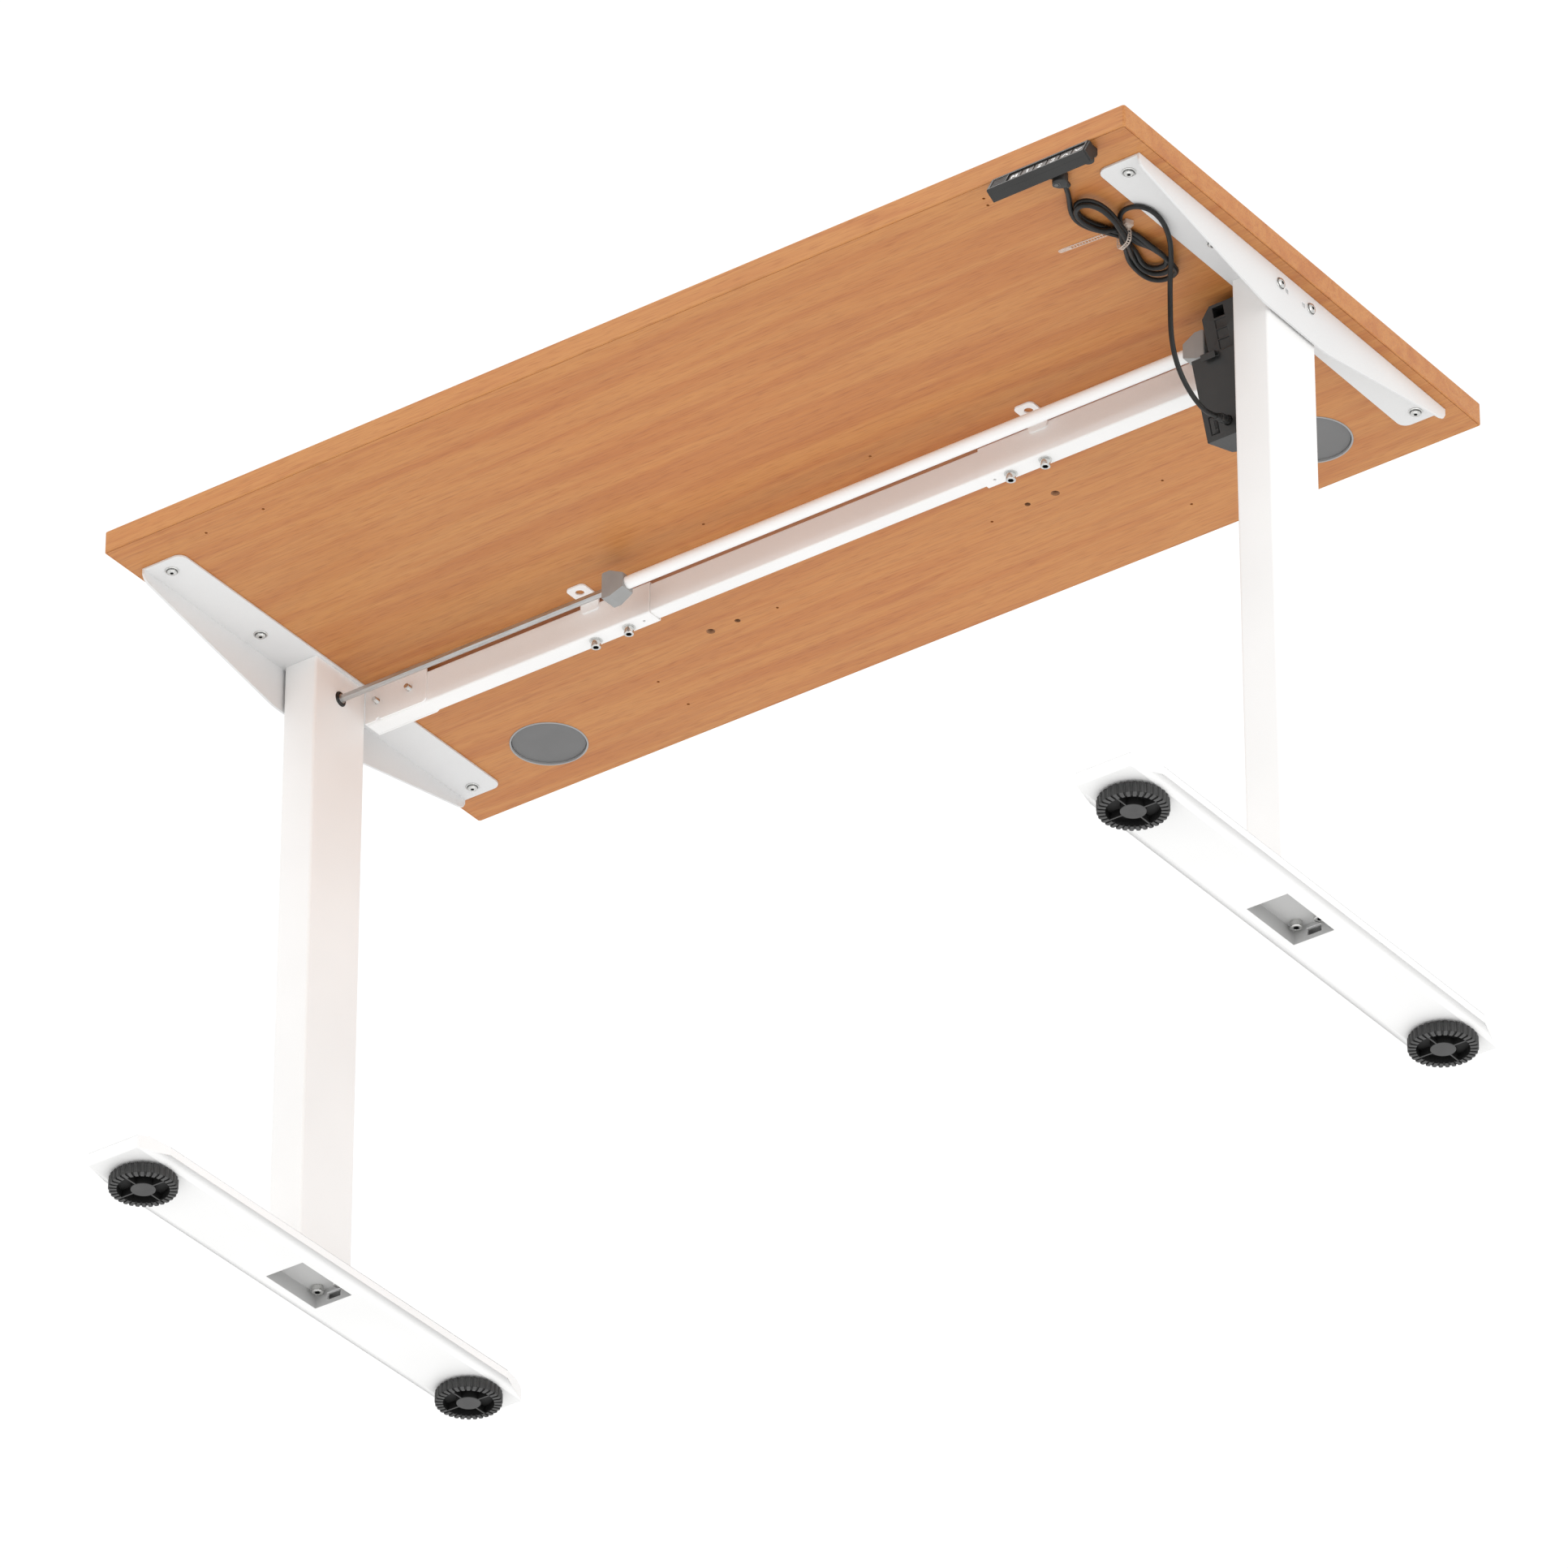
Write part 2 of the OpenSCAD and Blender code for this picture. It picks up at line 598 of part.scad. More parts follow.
module leveller_rear_left() { leveller(-1, 1); }
module leveller_front_right() { leveller(1, -1); }
module leveller_rear_right() { leveller(1, 1); }

desktop();
edge_band();
grommet_sleeves();
grommet_cap_left();
grommet_cap_right();
side_bracket_left();
side_bracket_right();
bracket_screws();
column_bolts();
rail_outer_left();
rail_outer_right();
rail_inner();
rail_bolts();
rail_end_brackets();
end_bracket_bolts();
outer_tube_left();
outer_tube_right();
gear_carriers();
column_glides();
gearbox_housing();
motor_housing();
motor_can();
control_board();
handset_case();
handset_base();
key_memory();
key_one();
key_two();
key_three();
key_up();
key_down();
cable_tie();
cord_gland();
cord_plug();
cord_lead();
cord_hank();
cord_run();
hex_shaft();
shaft_tube();
shaft_couplings();
shaft_bevels();
worm_wheel();
worm_shaft();
lead_screw_left();
lead_screw_right();
screw_bevel_left();
screw_bevel_right();
inner_tube_left();
inner_tube_right();
lift_nut_left();
lift_nut_right();
foot_left();
foot_right();
foot_bolts_left();
foot_bolts_right();
leveller_front_left();
leveller_rear_left();
leveller_front_right();
leveller_rear_right();
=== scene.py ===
"""Looks for the height-adjustable desk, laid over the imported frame. Metres, +X right, -Y user, +Z up."""
import bpy, bmesh, json, math
import numpy as np
from mathutils import Vector, Matrix


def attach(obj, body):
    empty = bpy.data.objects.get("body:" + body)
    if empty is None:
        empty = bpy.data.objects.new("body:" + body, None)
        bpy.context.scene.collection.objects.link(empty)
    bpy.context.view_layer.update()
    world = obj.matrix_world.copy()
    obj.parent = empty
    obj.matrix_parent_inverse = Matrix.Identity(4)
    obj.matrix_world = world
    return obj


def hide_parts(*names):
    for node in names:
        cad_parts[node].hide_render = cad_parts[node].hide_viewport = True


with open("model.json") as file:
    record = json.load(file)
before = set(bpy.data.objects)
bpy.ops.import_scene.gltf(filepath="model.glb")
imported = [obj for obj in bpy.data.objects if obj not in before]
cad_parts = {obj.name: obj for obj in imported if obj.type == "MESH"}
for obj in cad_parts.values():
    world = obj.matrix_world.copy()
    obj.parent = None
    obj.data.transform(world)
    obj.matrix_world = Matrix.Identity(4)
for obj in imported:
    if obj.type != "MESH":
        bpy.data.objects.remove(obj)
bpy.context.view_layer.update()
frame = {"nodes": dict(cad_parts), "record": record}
scene = bpy.context.scene
# the body that each CAD node rides on
BODY = {n: b for b, ns in frame["record"]["behaviour"]["bodies"].items() for n in ns}

# positions shared with part.scad, in mm
mm = 0.001
UNDER_Z = 706  # underside of the desktop
FLANGE_Z = 703.5  # underside of the side brackets' flanges
SHAFT_Z = 673  # axis of the drive shaft
FOOT_X = 562  # middle line of the feet and their levelling discs
HANDSET_Y, HANDSET_TILT = -301, math.radians(-28.8)
UNIT_TILT = math.radians(17.5)  # lean of the motor unit about the shaft

# ---------------------------------------------------------------- camera, light, floor
AZ, EL, DIST, LENS = math.radians(36.006), math.radians(-32.608), 10.4714, 254.56
ROLL = math.radians(0.035)
FLOOR_DROP = 0.0004  # keeps the floor clear of the discs that stand on it
aim = Vector((-0.0013, -0.0023, 0.3696))
back = Vector((math.sin(AZ) * math.cos(EL), -math.cos(AZ) * math.cos(EL), math.sin(EL)))
cam_data = bpy.data.cameras.new("camera")
cam = bpy.data.objects.new("camera", cam_data)
scene.collection.objects.link(cam)
cam_data.lens, cam_data.sensor_width, cam_data.clip_start, cam_data.clip_end = LENS, 36, 0.1, 60
cam.location = aim + back * DIST
turn = (-back).to_track_quat("-Z", "Y").to_matrix().to_4x4()
cam.rotation_mode = "QUATERNION"
cam.rotation_quaternion = (turn @ Matrix.Rotation(ROLL, 4, "Z")).to_quaternion()
scene.camera = cam
scene.view_settings.view_transform = "Standard"
scene.view_settings.look = "None"


def soft_panel(name, spot, target, size, power, tint=(1, 1, 1)):
    """Soft square light at spot, facing target."""
    data = bpy.data.lights.new(name, "AREA")
    data.shape, data.size, data.energy, data.color = "SQUARE", size, power, tint
    o = bpy.data.objects.new(name, data)
    scene.collection.objects.link(o)
    o.location = spot
    o.rotation_mode = "QUATERNION"
    o.rotation_quaternion = (Vector(target) - Vector(spot)).to_track_quat("-Z", "Y")


soft_panel("front_soft", (-1.6, -5.2, -0.6), (0, 0, 0.4), 3.0, 30, (1, 0.995, 0.985))
soft_panel("right_soft", (5.0, -1.0, 0.2), (0, 0, 0.45), 2.8, 60, (1, 0.99, 0.98))
soft_panel("low_soft", (0.2, 0.6, -4.6), (0, 0, 0.5), 3.6, 40, (1, 0.99, 0.98))
soft_panel("top_soft", (-0.8, -1.2, 4.6), (0, 0, 0.5), 3.2, 90)

# white surroundings: one strength lights the desk, the other is the backdrop that the camera sees
world = bpy.data.worlds.new("studio")
scene.world = world
world.use_nodes = True
wn = world.node_tree
lit = wn.nodes["Background"]
lit.inputs["Color"].default_value = (1, 1, 1, 1)
lit.inputs["Strength"].default_value = 0.93
seen = wn.nodes.new("ShaderNodeBackground")
seen.inputs["Color"].default_value = (1, 1, 1, 1)
seen.inputs["Strength"].default_value = 1.06
light_path = wn.nodes.new("ShaderNodeLightPath")
sky = wn.nodes.new("ShaderNodeMixShader")
wn.links.new(light_path.outputs["Is Camera Ray"], sky.inputs[0])
wn.links.new(lit.outputs[0], sky.inputs[1])
wn.links.new(seen.outputs[0], sky.inputs[2])
wn.links.new(sky.outputs[0], wn.nodes["World Output"].inputs["Surface"])


def floor():
    """Pale floor: the camera sees it from above and looks through it from below; no other ray meets it."""
    bm = bmesh.new()
    bmesh.ops.create_grid(bm, x_segments=8, y_segments=8, size=6)
    me = bpy.data.meshes.new("floor")
    bm.to_mesh(me)
    bm.free()
    o = bpy.data.objects.new("floor", me)
    scene.collection.objects.link(o)
    o.location.z = -FLOOR_DROP
    m = bpy.data.materials.new("floor")
    m.use_nodes = True
    nt = m.node_tree
    bsdf = nt.nodes["Principled BSDF"]
    bsdf.inputs["Base Color"].default_value = (0.74, 0.74, 0.74, 1)
    bsdf.inputs["Roughness"].default_value = 0.8
    clear = nt.nodes.new("ShaderNodeBsdfTransparent")
    geo = nt.nodes.new("ShaderNodeNewGeometry")
    lp = nt.nodes.new("ShaderNodeLightPath")
    unseen = nt.nodes.new("ShaderNodeMath")
    unseen.operation = "SUBTRACT"
    unseen.inputs[0].default_value = 1.0
    either = nt.nodes.new("ShaderNodeMath")
    either.operation = "MAXIMUM"
    nt.links.new(lp.outputs["Is Camera Ray"], unseen.inputs[1])
    mix = nt.nodes.new("ShaderNodeMixShader")
    nt.links.new(geo.outputs["Backfacing"], either.inputs[0])
    nt.links.new(unseen.outputs[0], either.inputs[1])
    nt.links.new(either.outputs[0], mix.inputs[0])
    nt.links.new(bsdf.outputs[0], mix.inputs[1])
    nt.links.new(clear.outputs[0], mix.inputs[2])
    nt.links.new(mix.outputs[0], nt.nodes["Material Output"].inputs["Surface"])
    me.materials.append(m)


floor()


# ---------------------------------------------------------------- materials
def lin(r, g, b):
    """sRGB 0-255 to linear RGBA."""
    def channel(c):
        c = c / 255
        return c / 12.92 if c <= 0.04045 else ((c + 0.055) / 1.055) ** 2.4
    return (channel(r), channel(g), channel(b), 1.0)


def grey(v, blue=None):
    """Neutral RGBA, with its own blue where one is given."""
    return (v, v, v if blue is None else blue, 1)


class Mat:
    """Small helper round one Principled material and its nodes."""

    def __init__(self, name, rough=0.5, metallic=0.0, **sockets):
        self.m = bpy.data.materials.new(name)
        self.m.use_nodes = True
        self.nt = self.m.node_tree
        self.bsdf = self.nt.nodes["Principled BSDF"]
        self.bsdf.inputs["Roughness"].default_value = rough
        self.bsdf.inputs["Metallic"].default_value = metallic
        for k, v in sockets.items():
            self.bsdf.inputs[k.replace("_", " ")].default_value = v
        self.rough = rough
        self.coord = self.nt.nodes.new("ShaderNodeTexCoord").outputs["Object"]

    def link(self, a, b):
        self.nt.links.new(a, b)

    def mapped(self, scale, rot=(0, 0, 0)):
        """Object coordinates, scaled and turned."""
        n = self.nt.nodes.new("ShaderNodeMapping")
        n.inputs["Scale"].default_value = scale
        n.inputs["Rotation"].default_value = rot
        self.link(self.coord, n.inputs["Vector"])
        return n.outputs[0]

    def noise(self, scale, detail, rough=0.5, distort=0.0, vec=None):
        """Noise from about 0.3 to 0.7, round 0.5."""
        n = self.nt.nodes.new("ShaderNodeTexNoise")
        n.inputs["Scale"].default_value = scale
        n.inputs["Detail"].default_value = detail
        n.inputs["Roughness"].default_value = rough
        n.inputs["Distortion"].default_value = distort
        self.link(vec if vec is not None else self.coord, n.inputs["Vector"])
        return n.outputs["Fac"]

    def ramp(self, fac, stops):
        """Colour of fac along stops of (position, RGBA)."""
        n = self.nt.nodes.new("ShaderNodeValToRGB")
        els = n.color_ramp.elements
        els[0].position, els[0].color = stops[0]
        els[1].position, els[1].color = stops[-1]
        for p, c in stops[1:-1]:
            els.new(p).color = c
        self.link(fac, n.inputs[0])
        return n.outputs[0]

    def mix(self, a, b, fac, how="MIX"):
        """Blend of a and b, each a socket or a colour."""
        n = self.nt.nodes.new("ShaderNodeMix")
        n.data_type, n.blend_type = "RGBA", how
        for sock, val in ((n.inputs[0], fac), (n.inputs[6], a), (n.inputs[7], b)):
            if isinstance(val, bpy.types.NodeSocket):
                self.link(val, sock)
            else:
                sock.default_value = val
        return n.outputs[2]

    def span(self, val, lo, hi, to_lo, to_hi):
        """Takes val from lo..hi to to_lo..to_hi."""
        n = self.nt.nodes.new("ShaderNodeMapRange")
        for i, v in enumerate((lo, hi, to_lo, to_hi)):
            n.inputs[i + 1].default_value = v
        self.link(val, n.inputs[0])
        return n.outputs[0]

    def colour(self, c):
        """Sets the base colour."""
        self.link(c, self.bsdf.inputs["Base Color"])

    def roughness(self, fac, spread):
        """Varies the roughness by spread about its own value."""
        grain = self.span(fac, 0.3, 0.7, self.rough - spread, self.rough + spread)
        self.link(grain, self.bsdf.inputs["Roughness"])

    def bump(self, height, strength, dist):
        """Relief of dist metres where height is 1."""
        n = self.nt.nodes.new("ShaderNodeBump")
        n.inputs["Strength"].default_value = strength
        n.inputs["Distance"].default_value = dist
        self.link(height, n.inputs["Height"])
        self.link(n.outputs[0], self.bsdf.inputs["Normal"])


def plain(name, dark, light, rough, metallic=0.0, tone=24.0, grit=900.0, bump=0.25, depth=0.0001, **more):
    """Moulded, coated or metal finish: slow tone drift, fine grain in roughness and bump."""
    k = Mat(name, rough, metallic, **more)
    drift = k.noise(tone, 2.0)
    k.colour(k.ramp(drift, [(0.32, dark), (0.68, light)]))
    fine = k.noise(grit, 2.0, 0.6)
    k.roughness(fine, 0.06)
    k.bump(fine, bump, depth)
    return k.m


def brushed(name, dark, light, rough, along):
    """Machined or drawn metal: fine lines along one axis."""
    k = Mat(name, rough, 1.0)
    s = {"X": (40, 1600, 1600), "Z": (1600, 1600, 40)}[along]
    lines = k.noise(1.0, 3.0, 0.6, vec=k.mapped(s))
    k.colour(k.ramp(lines, [(0.3, dark), (0.7, light)]))
    k.roughness(lines, 0.08)
    k.bump(lines, 0.15, 0.00005)
    return k.m


def beech(name, along):
    """Steamed beech: long flowing figure, fibre streaks and short dark pore flecks."""
    k = Mat(name, 0.46, Coat_Weight=0.06, Coat_Roughness=0.35)
    turn = (0, 0, 0) if along == "X" else (0, 0, math.pi / 2)
    fig = k.noise(1.0, 3.0, 0.55, 0.8, k.mapped((2.4, 38, 38), turn))
    fibre = k.noise(1.0, 2.0, 0.55, 0.2, k.mapped((15, 430, 430), turn))
    fleck = k.noise(1.0, 1.0, 0.5, 0.0, k.mapped((46, 820, 820), turn))
    drift = k.noise(2.2, 2.0)
    base = k.ramp(fig, [(0.30, lin(184, 116, 61)), (0.44, lin(190, 124, 66.5)),
                        (0.58, lin(197, 135, 75)), (0.72, lin(186, 118.5, 62.5))])
    grain = k.ramp(fibre, [(0.30, (0.87, 0.81, 0.76, 1)), (0.50, (0.97, 0.96, 0.95, 1)), (0.68, grey(1))])
    c = k.mix(base, grain, 0.85, "MULTIPLY")
    pore = k.ramp(fleck, [(0.53, grey(1)), (0.70, (0.72, 0.60, 0.50, 1))])
    c = k.mix(c, pore, 0.55, "MULTIPLY")
    warm = k.ramp(drift, [(0.35, (1.03, 0.99, 0.95, 1)), (0.65, (0.98, 1.0, 1.01, 1))])
    k.colour(k.mix(c, warm, 0.8, "MULTIPLY"))
    k.roughness(fibre, 0.07)
    k.bump(k.mix(fibre, fleck, 0.5), 0.18, 0.00012)
    return k.m


def powder(name, dark, light):
    """Polyester powder coat: fine orange peel and faint speckle."""
    k = Mat(name, 0.42)
    drift = k.noise(6.0, 2.0)
    speck = k.noise(1500.0, 1.0, 0.5)
    base = k.ramp(drift, [(0.35, dark), (0.65, light)])
    speckle = k.ramp(speck, [(0.35, grey(0.965)), (0.6, grey(1))])
    k.colour(k.mix(base, speckle, 0.7, "MULTIPLY"))
    peel = k.noise(520.0, 2.0, 0.5)
    k.roughness(peel, 0.05)
    k.bump(peel, 0.22, 0.00012)
    return k.m


# every finish by its short name: material name, dark tone, light tone, then the function's own numbers
M = {
    "beech": beech("beech_along_x", "X"),
    "beech_y": beech("beech_along_y", "Y"),
    "white": powder("powder_white", grey(0.73), grey(0.77, 0.765)),
    # lighter copy of the white coat on the rails and tubes: painted light
    "white_painted_lit": powder("powder_white_painted_lit", (0.88, 0.875, 0.865, 1), (0.92, 0.915, 0.905, 1)),
    # lighter copy of the white coat on the feet: painted light on their undersides
    "foot": powder("powder_white_painted_lit_foot", grey(0.90, 0.895), grey(0.94, 0.935)),
    # dark brown lining of the spare holes: painted shade
    "core": plain("spare_hole_painted_shade", (0.27, 0.13, 0.062, 1), (0.36, 0.18, 0.088, 1), 0.8, 0, 300, 1500, 0.5),
    # darker copy of the white coat for the walls of the recess under a column: painted shade
    "recess": powder("foot_recess_painted_shade", grey(0.50, 0.495), grey(0.58, 0.575)),
    # dark ring round the foot of a screw head: painted shadow
    "screw_shadow": plain("screw_painted_shadow", grey(0.10), grey(0.16), 0.4, 0.6, 300, 2000, 0.1),
    "zinc": plain("zinc_plate", grey(0.60, 0.59), grey(0.74, 0.72), 0.24, 1.0, 300, 2400, 0.1, 0.00003),
    "steel": brushed("steel_bar", grey(0.42), grey(0.62, 0.61), 0.34, "X"),
    "screw": brushed("steel_screw", grey(0.40), grey(0.60, 0.59), 0.3, "Z"),
    "gear": plain("gear_steel", grey(0.16, 0.165), grey(0.24, 0.245), 0.4, 1.0, 200, 2000, 0.1),
    "brass": plain("brass", (0.62, 0.42, 0.15, 1), (0.74, 0.52, 0.20, 1), 0.32, 1.0, 160, 2200, 0.1),
    "black": plain("abs_black", grey(0.017, 0.0165), grey(0.023, 0.0225), 0.48, 0, 30, 1500, 0.3, 0.00012),
    # lighter copy of the black plastic: painted highlight
    "black_painted_highlight": plain("abs_black_painted_highlight", grey(0.09, 0.088), grey(0.12, 0.118), 0.35, 0, 40, 1500, 0.2),
    "cord": plain("cord_pvc", grey(0.008, 0.0075), grey(0.012, 0.0115), 0.46, 0, 60, 1300, 0.2, 0.00008,
                  Specular_IOR_Level=0.38),
    "level": plain("leveller_pa", grey(0.020), grey(0.027, 0.0265), 0.5, 0, 60, 1400, 0.3, 0.00012),
    # lighter copy of the leveller plastic on what faces the floor: painted light
    "level_painted_lit": plain("leveller_painted_lit", grey(0.056), grey(0.070), 0.55, 0, 60, 1400, 0.3),
    # darker copy of the leveller plastic in the hollow and notches: painted shade
    "level_painted_shade": plain("leveller_painted_shade", grey(0.004), grey(0.008), 0.6, 0, 60, 1400, 0.2),
    # near-black keys; their brown tint is a painted reflection of the beech above
    "key": plain("key_black_painted_wood_reflection", (0.034, 0.027, 0.022, 1), (0.044, 0.035, 0.029, 1), 0.34, 0, 60, 1800, 0.08,
                 0.00004, Specular_IOR_Level=0.3),
    "mark": plain("key_mark", grey(0.85, 0.84), grey(0.93, 0.92), 0.5, 0, 400, 2000, 0.1),
    "window": plain("display_lens", grey(0.006), grey(0.010), 0.4, 0, 30, 900, 0.05, 0.0001,
                    Specular_IOR_Level=0.08),
    "coupling": plain("coupling_pa", grey(0.29, 0.285), grey(0.33, 0.325), 0.42, 0, 40, 1400, 0.25),
    "grommet": plain("grommet_abs", grey(0.145), grey(0.165), 0.5, 0, 20, 1300, 0.2),
    "rim": plain("grommet_rim", grey(0.33), grey(0.37), 0.45, 0, 20, 1300, 0.2),
    "glide": plain("glide_pom", grey(0.62, 0.60), grey(0.70, 0.68), 0.45, 0, 60, 1400, 0.2),
    "nut": plain("nut_pom", (0.70, 0.66, 0.55, 1), (0.78, 0.74, 0.63, 1), 0.42, 0, 60, 1400, 0.2),
    "board": plain("circuit_board", (0.01, 0.10, 0.03, 1), (0.02, 0.16, 0.05, 1), 0.35, 0, 500, 2000, 0.2),
    "carrier": plain("carrier_pa", grey(0.10), grey(0.14), 0.5, 0, 60, 1400, 0.2),
    # dark plastic of the bearings and the parting line, also used to paint shade in screw sockets and on the
    # screw behind the motor
    "bearing": plain("bearing_dark_and_painted_shade", grey(0.012), grey(0.02), 0.4, 0, 60, 1400, 0.2),
    "tie": plain("tie_nylon", (0.78, 0.66, 0.57, 1), (0.86, 0.75, 0.66, 1), 0.3, 0, 120, 1600, 0.1,
                 0.00004, Alpha=0.42),
}

# the finish of each CAD node; the names that aren't here go by their kind
NODE_MATS = {
    "desktop": "beech", "edge_band": "beech", "grommet_sleeves": "rim", "control_board": "board",
    "grommet_cap_left": "grommet", "grommet_cap_right": "grommet", "gear_carriers": "carrier",
    "column_glides": "glide", "gearbox_housing": "black", "motor_housing": "black", "motor_can": "zinc",
    "handset_case": "black", "handset_base": "black", "cable_tie": "tie", "cord_gland": "black",
    "cord_plug": "black", "cord_lead": "cord", "cord_hank": "cord", "cord_run": "cord", "hex_shaft": "steel",
    "shaft_tube": "white_painted_lit", "shaft_couplings": "coupling", "shaft_bevels": "gear", "worm_wheel": "brass",
    "worm_shaft": "gear", "lead_screw_left": "screw", "lead_screw_right": "screw", "screw_bevel_left": "gear",
    "screw_bevel_right": "gear", "lift_nut_left": "nut", "lift_nut_right": "nut",
}


def node_material(name):
    """Key of the material that a CAD node wears."""
    if name in NODE_MATS:
        return NODE_MATS[name]
    if name.startswith("key_"):
        return "key"
    if name.startswith("leveller"):
        return "level"
    if "bolts" in name or "screws" in name:
        return "zinc"
    return "white"


for n, o in frame["nodes"].items():
    o.data.materials.clear()
    o.data.materials.append(M[node_material(n)])


# ---------------------------------------------------------------- mesh helpers
BEVEL_FROM = math.radians(28)  # edges sharper than this are softened
FLAT_WITHIN = math.radians(0.4)  # faces flatter to each other than this become one


def piece(name, bm, mats, body, replace=(), smooth=35.0, bevel=0.0, segs=2):
    """Turns a bmesh into a named piece on a body."""
    bmesh.ops.remove_doubles(bm, verts=bm.verts, dist=1e-7)
    bmesh.ops.recalc_face_normals(bm, faces=bm.faces)
    me = bpy.data.meshes.new(name)
    bm.to_mesh(me)
    bm.free()
    o = bpy.data.objects.new(name, me)
    scene.collection.objects.link(o)
    for m in (mats if isinstance(mats, (list, tuple)) else [mats]):
        me.materials.append(M[m])
    me.shade_smooth()
    me.set_sharp_from_angle(angle=math.radians(smooth))
    if bevel:
        b = o.modifiers.new("bevel", "BEVEL")
        b.width, b.segments, b.limit_method, b.angle_limit = bevel, segs, "ANGLE", BEVEL_FROM
        b.use_clamp_overlap, b.harden_normals = False, True
    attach(o, body)
    if replace:
        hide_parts(*([replace] if isinstance(replace, str) else replace))
    return o


def refined(node, mat, width, segs=2, extra=(), pick=None, smooth=35.0, twin=None):
    """The CAD node's own mesh, or its twin's mirrored, with clean faces and softened edges."""
    bm = bmesh.new()
    bm.from_mesh(frame["nodes"][twin or node].data)
    if twin:
        bmesh.ops.scale(bm, vec=(-1, 1, 1), verts=bm.verts)
    bmesh.ops.remove_doubles(bm, verts=bm.verts, dist=1e-6)
    bmesh.ops.dissolve_limit(bm, angle_limit=FLAT_WITHIN, verts=bm.verts, edges=bm.edges)
    for layer in list(bm.loops.layers.uv):
        bm.loops.layers.uv.remove(layer)
    for f in bm.faces:
        f.material_index = pick(f) if pick else 0
    return piece("fine_" + node, bm, [mat, *extra], BODY[node], node, smooth, width, segs)


# ---------------------------------------------------------------- handset cord
def spline(points, step):
    """Catmull-Rom through points, resampled every step (mm)."""
    p = np.array(points, float)
    q = np.vstack([2 * p[0] - p[1], p, 2 * p[-1] - p[-2]])
    out = []
    for a, b, c, d in zip(q, q[1:], q[2:], q[3:]):
        for t in np.linspace(0, 1, 40, endpoint=False):
            out.append(0.5 * (2 * b + (c - a) * t + (2 * a - 5 * b + 4 * c - d) * t * t
                              + (3 * b - a - 3 * c + d) * t ** 3))
    out.append(p[-1])
    out = np.array(out)
    s = np.concatenate([[0], np.cumsum(np.linalg.norm(np.diff(out, axis=0), axis=1))])
    k = max(2, int(round(s[-1] / step)))
    return np.array([[np.interp(x, s, out[:, a]) for a in range(3)] for x in np.linspace(0, s[-1], k + 1)])


# the cord's middle line, in mm, on the route of the CAD cord solids
CORD_D = 5.0
CORD_STEP = 2.5  # spacing of the points that the cord is settled on
FIRST_ROW = 702.1  # height of the turns that lie against the desktop, inside the tie
ROW_PITCH = 5.1  # side by side or one below the other
# from the handset boss, along the underside and round the outside of the upper loop
lead = [(510, -271.5, 698.5), (508.4, -265, 698.8), (505.4, -257.5, 699.4), (501.2, -248.5, 700.2),
        (495.4, -238, 701), (488.8, -227.2, 701.6), (483.6, -216, 702.1), (481.2, -204.8, 702.3),
        (483, -193.8, 702.3), (488, -183, 702.2)]
# the lower loop: the first turn is its inner line, the last one its outer line
lower_in = [(507, -143.5), (512, -132), (515, -120.5), (515.2, -109.5), (511.2, -101.3), (503.8, -98.6),
            (496.4, -102.6), (492.6, -111), (493.4, -121), (497, -133)]
lower_out = [(516, -143.5), (519.8, -130), (521, -116), (519.5, -102), (514.5, -90.5), (505.5, -82.8),
             (494.5, -81), (486, -87.5), (482.6, -101), (485.6, -121)]
# how far each turn of the lower loop hangs below the one before it, as a part of lower_drop
lower_hang = (0.4, 0.8, 1, 0.9, 0.5, 0.1, 0, 0, 0, 0)
lower_drop = 4.2
upper = [(511.2, -171.5), (513.4, -181), (515.6, -192), (516.8, -204), (516.2, -215.5), (512.8, -225),
         (506, -231), (498.4, -230), (492.4, -223.4), (489, -213), (488.7, -202.5), (491.2, -192.5),
         (495.2, -183.5)]
# at the tie: across and along the first row, then across and along the row in front of it
tie_u, tie_v = np.array((0.914, -0.407)), np.array((0.407, 0.914))
tie_p, tie_w = np.array((0.915, 0.40)), np.array((-0.40, 0.915))
tie_c = np.array((505.5, -163.5))
route = list(lead)
for k in range(3):
    # through the tie towards the lower loop, side by side against the desktop
    for d in (-8, 0, 8):
        route.append((*(tie_c + tie_u * ROW_PITCH * (k - 1) + tie_v * d), FIRST_ROW))
    for n, (a, b) in enumerate(zip(lower_in, lower_out)):
        p = np.array(a) + (np.array(b) - np.array(a)) * k / 2
        route.append((*p, 702.8 - 0.22 * n - lower_drop * k * lower_hang[n]))
    # back through the tie in front of the first row
    across, high = ((2.6, 697.0), (2.6, 691.9), (-2.6, 697.0))[k]
    for d in (15, 7, 0):
        route.append((*(tie_c + tie_p * across + tie_w * d), high + (700.5 - high) * max(0, d - 7) / 16))
    if k < 2:
        for n, p in enumerate(upper):
            route.append((*p, 697.2 - ROW_PITCH * k + 5.5 * min(1, n / 10)))
# free turn to the right, then down to the motor unit
route += [(508.2, -172, 700.2), (512.2, -179.5, 702.2), (516.6, -186.8, 701.8), (522.8, -193.4, 701),
          (530.5, -197, 700.6), (538, -195.9, 700.6), (543.8, -190.8, 700.8), (547.3, -183, 700.7),
          (548.4, -173, 700.4), (547.4, -162, 699.4), (544.5, -151, 698.2), (540, -140, 697),
          (534.5, -129.5, 695.6), (528, -119.5, 693.4), (521.4, -110.4, 688.8), (515.9, -103.4, 680.6),
          (512.3, -98.6, 669), (510, -95.4, 653), (508.7, -93.4, 636), (508.1, -90.5, 619), (508, -84.8, 603),
          (508, -75.5, 589.6), (508, -63, 579.9), (508, -50, 574.2), (508, -38, 572.3), (508, -28, 573.7),
          (508, -18, 576.7)]


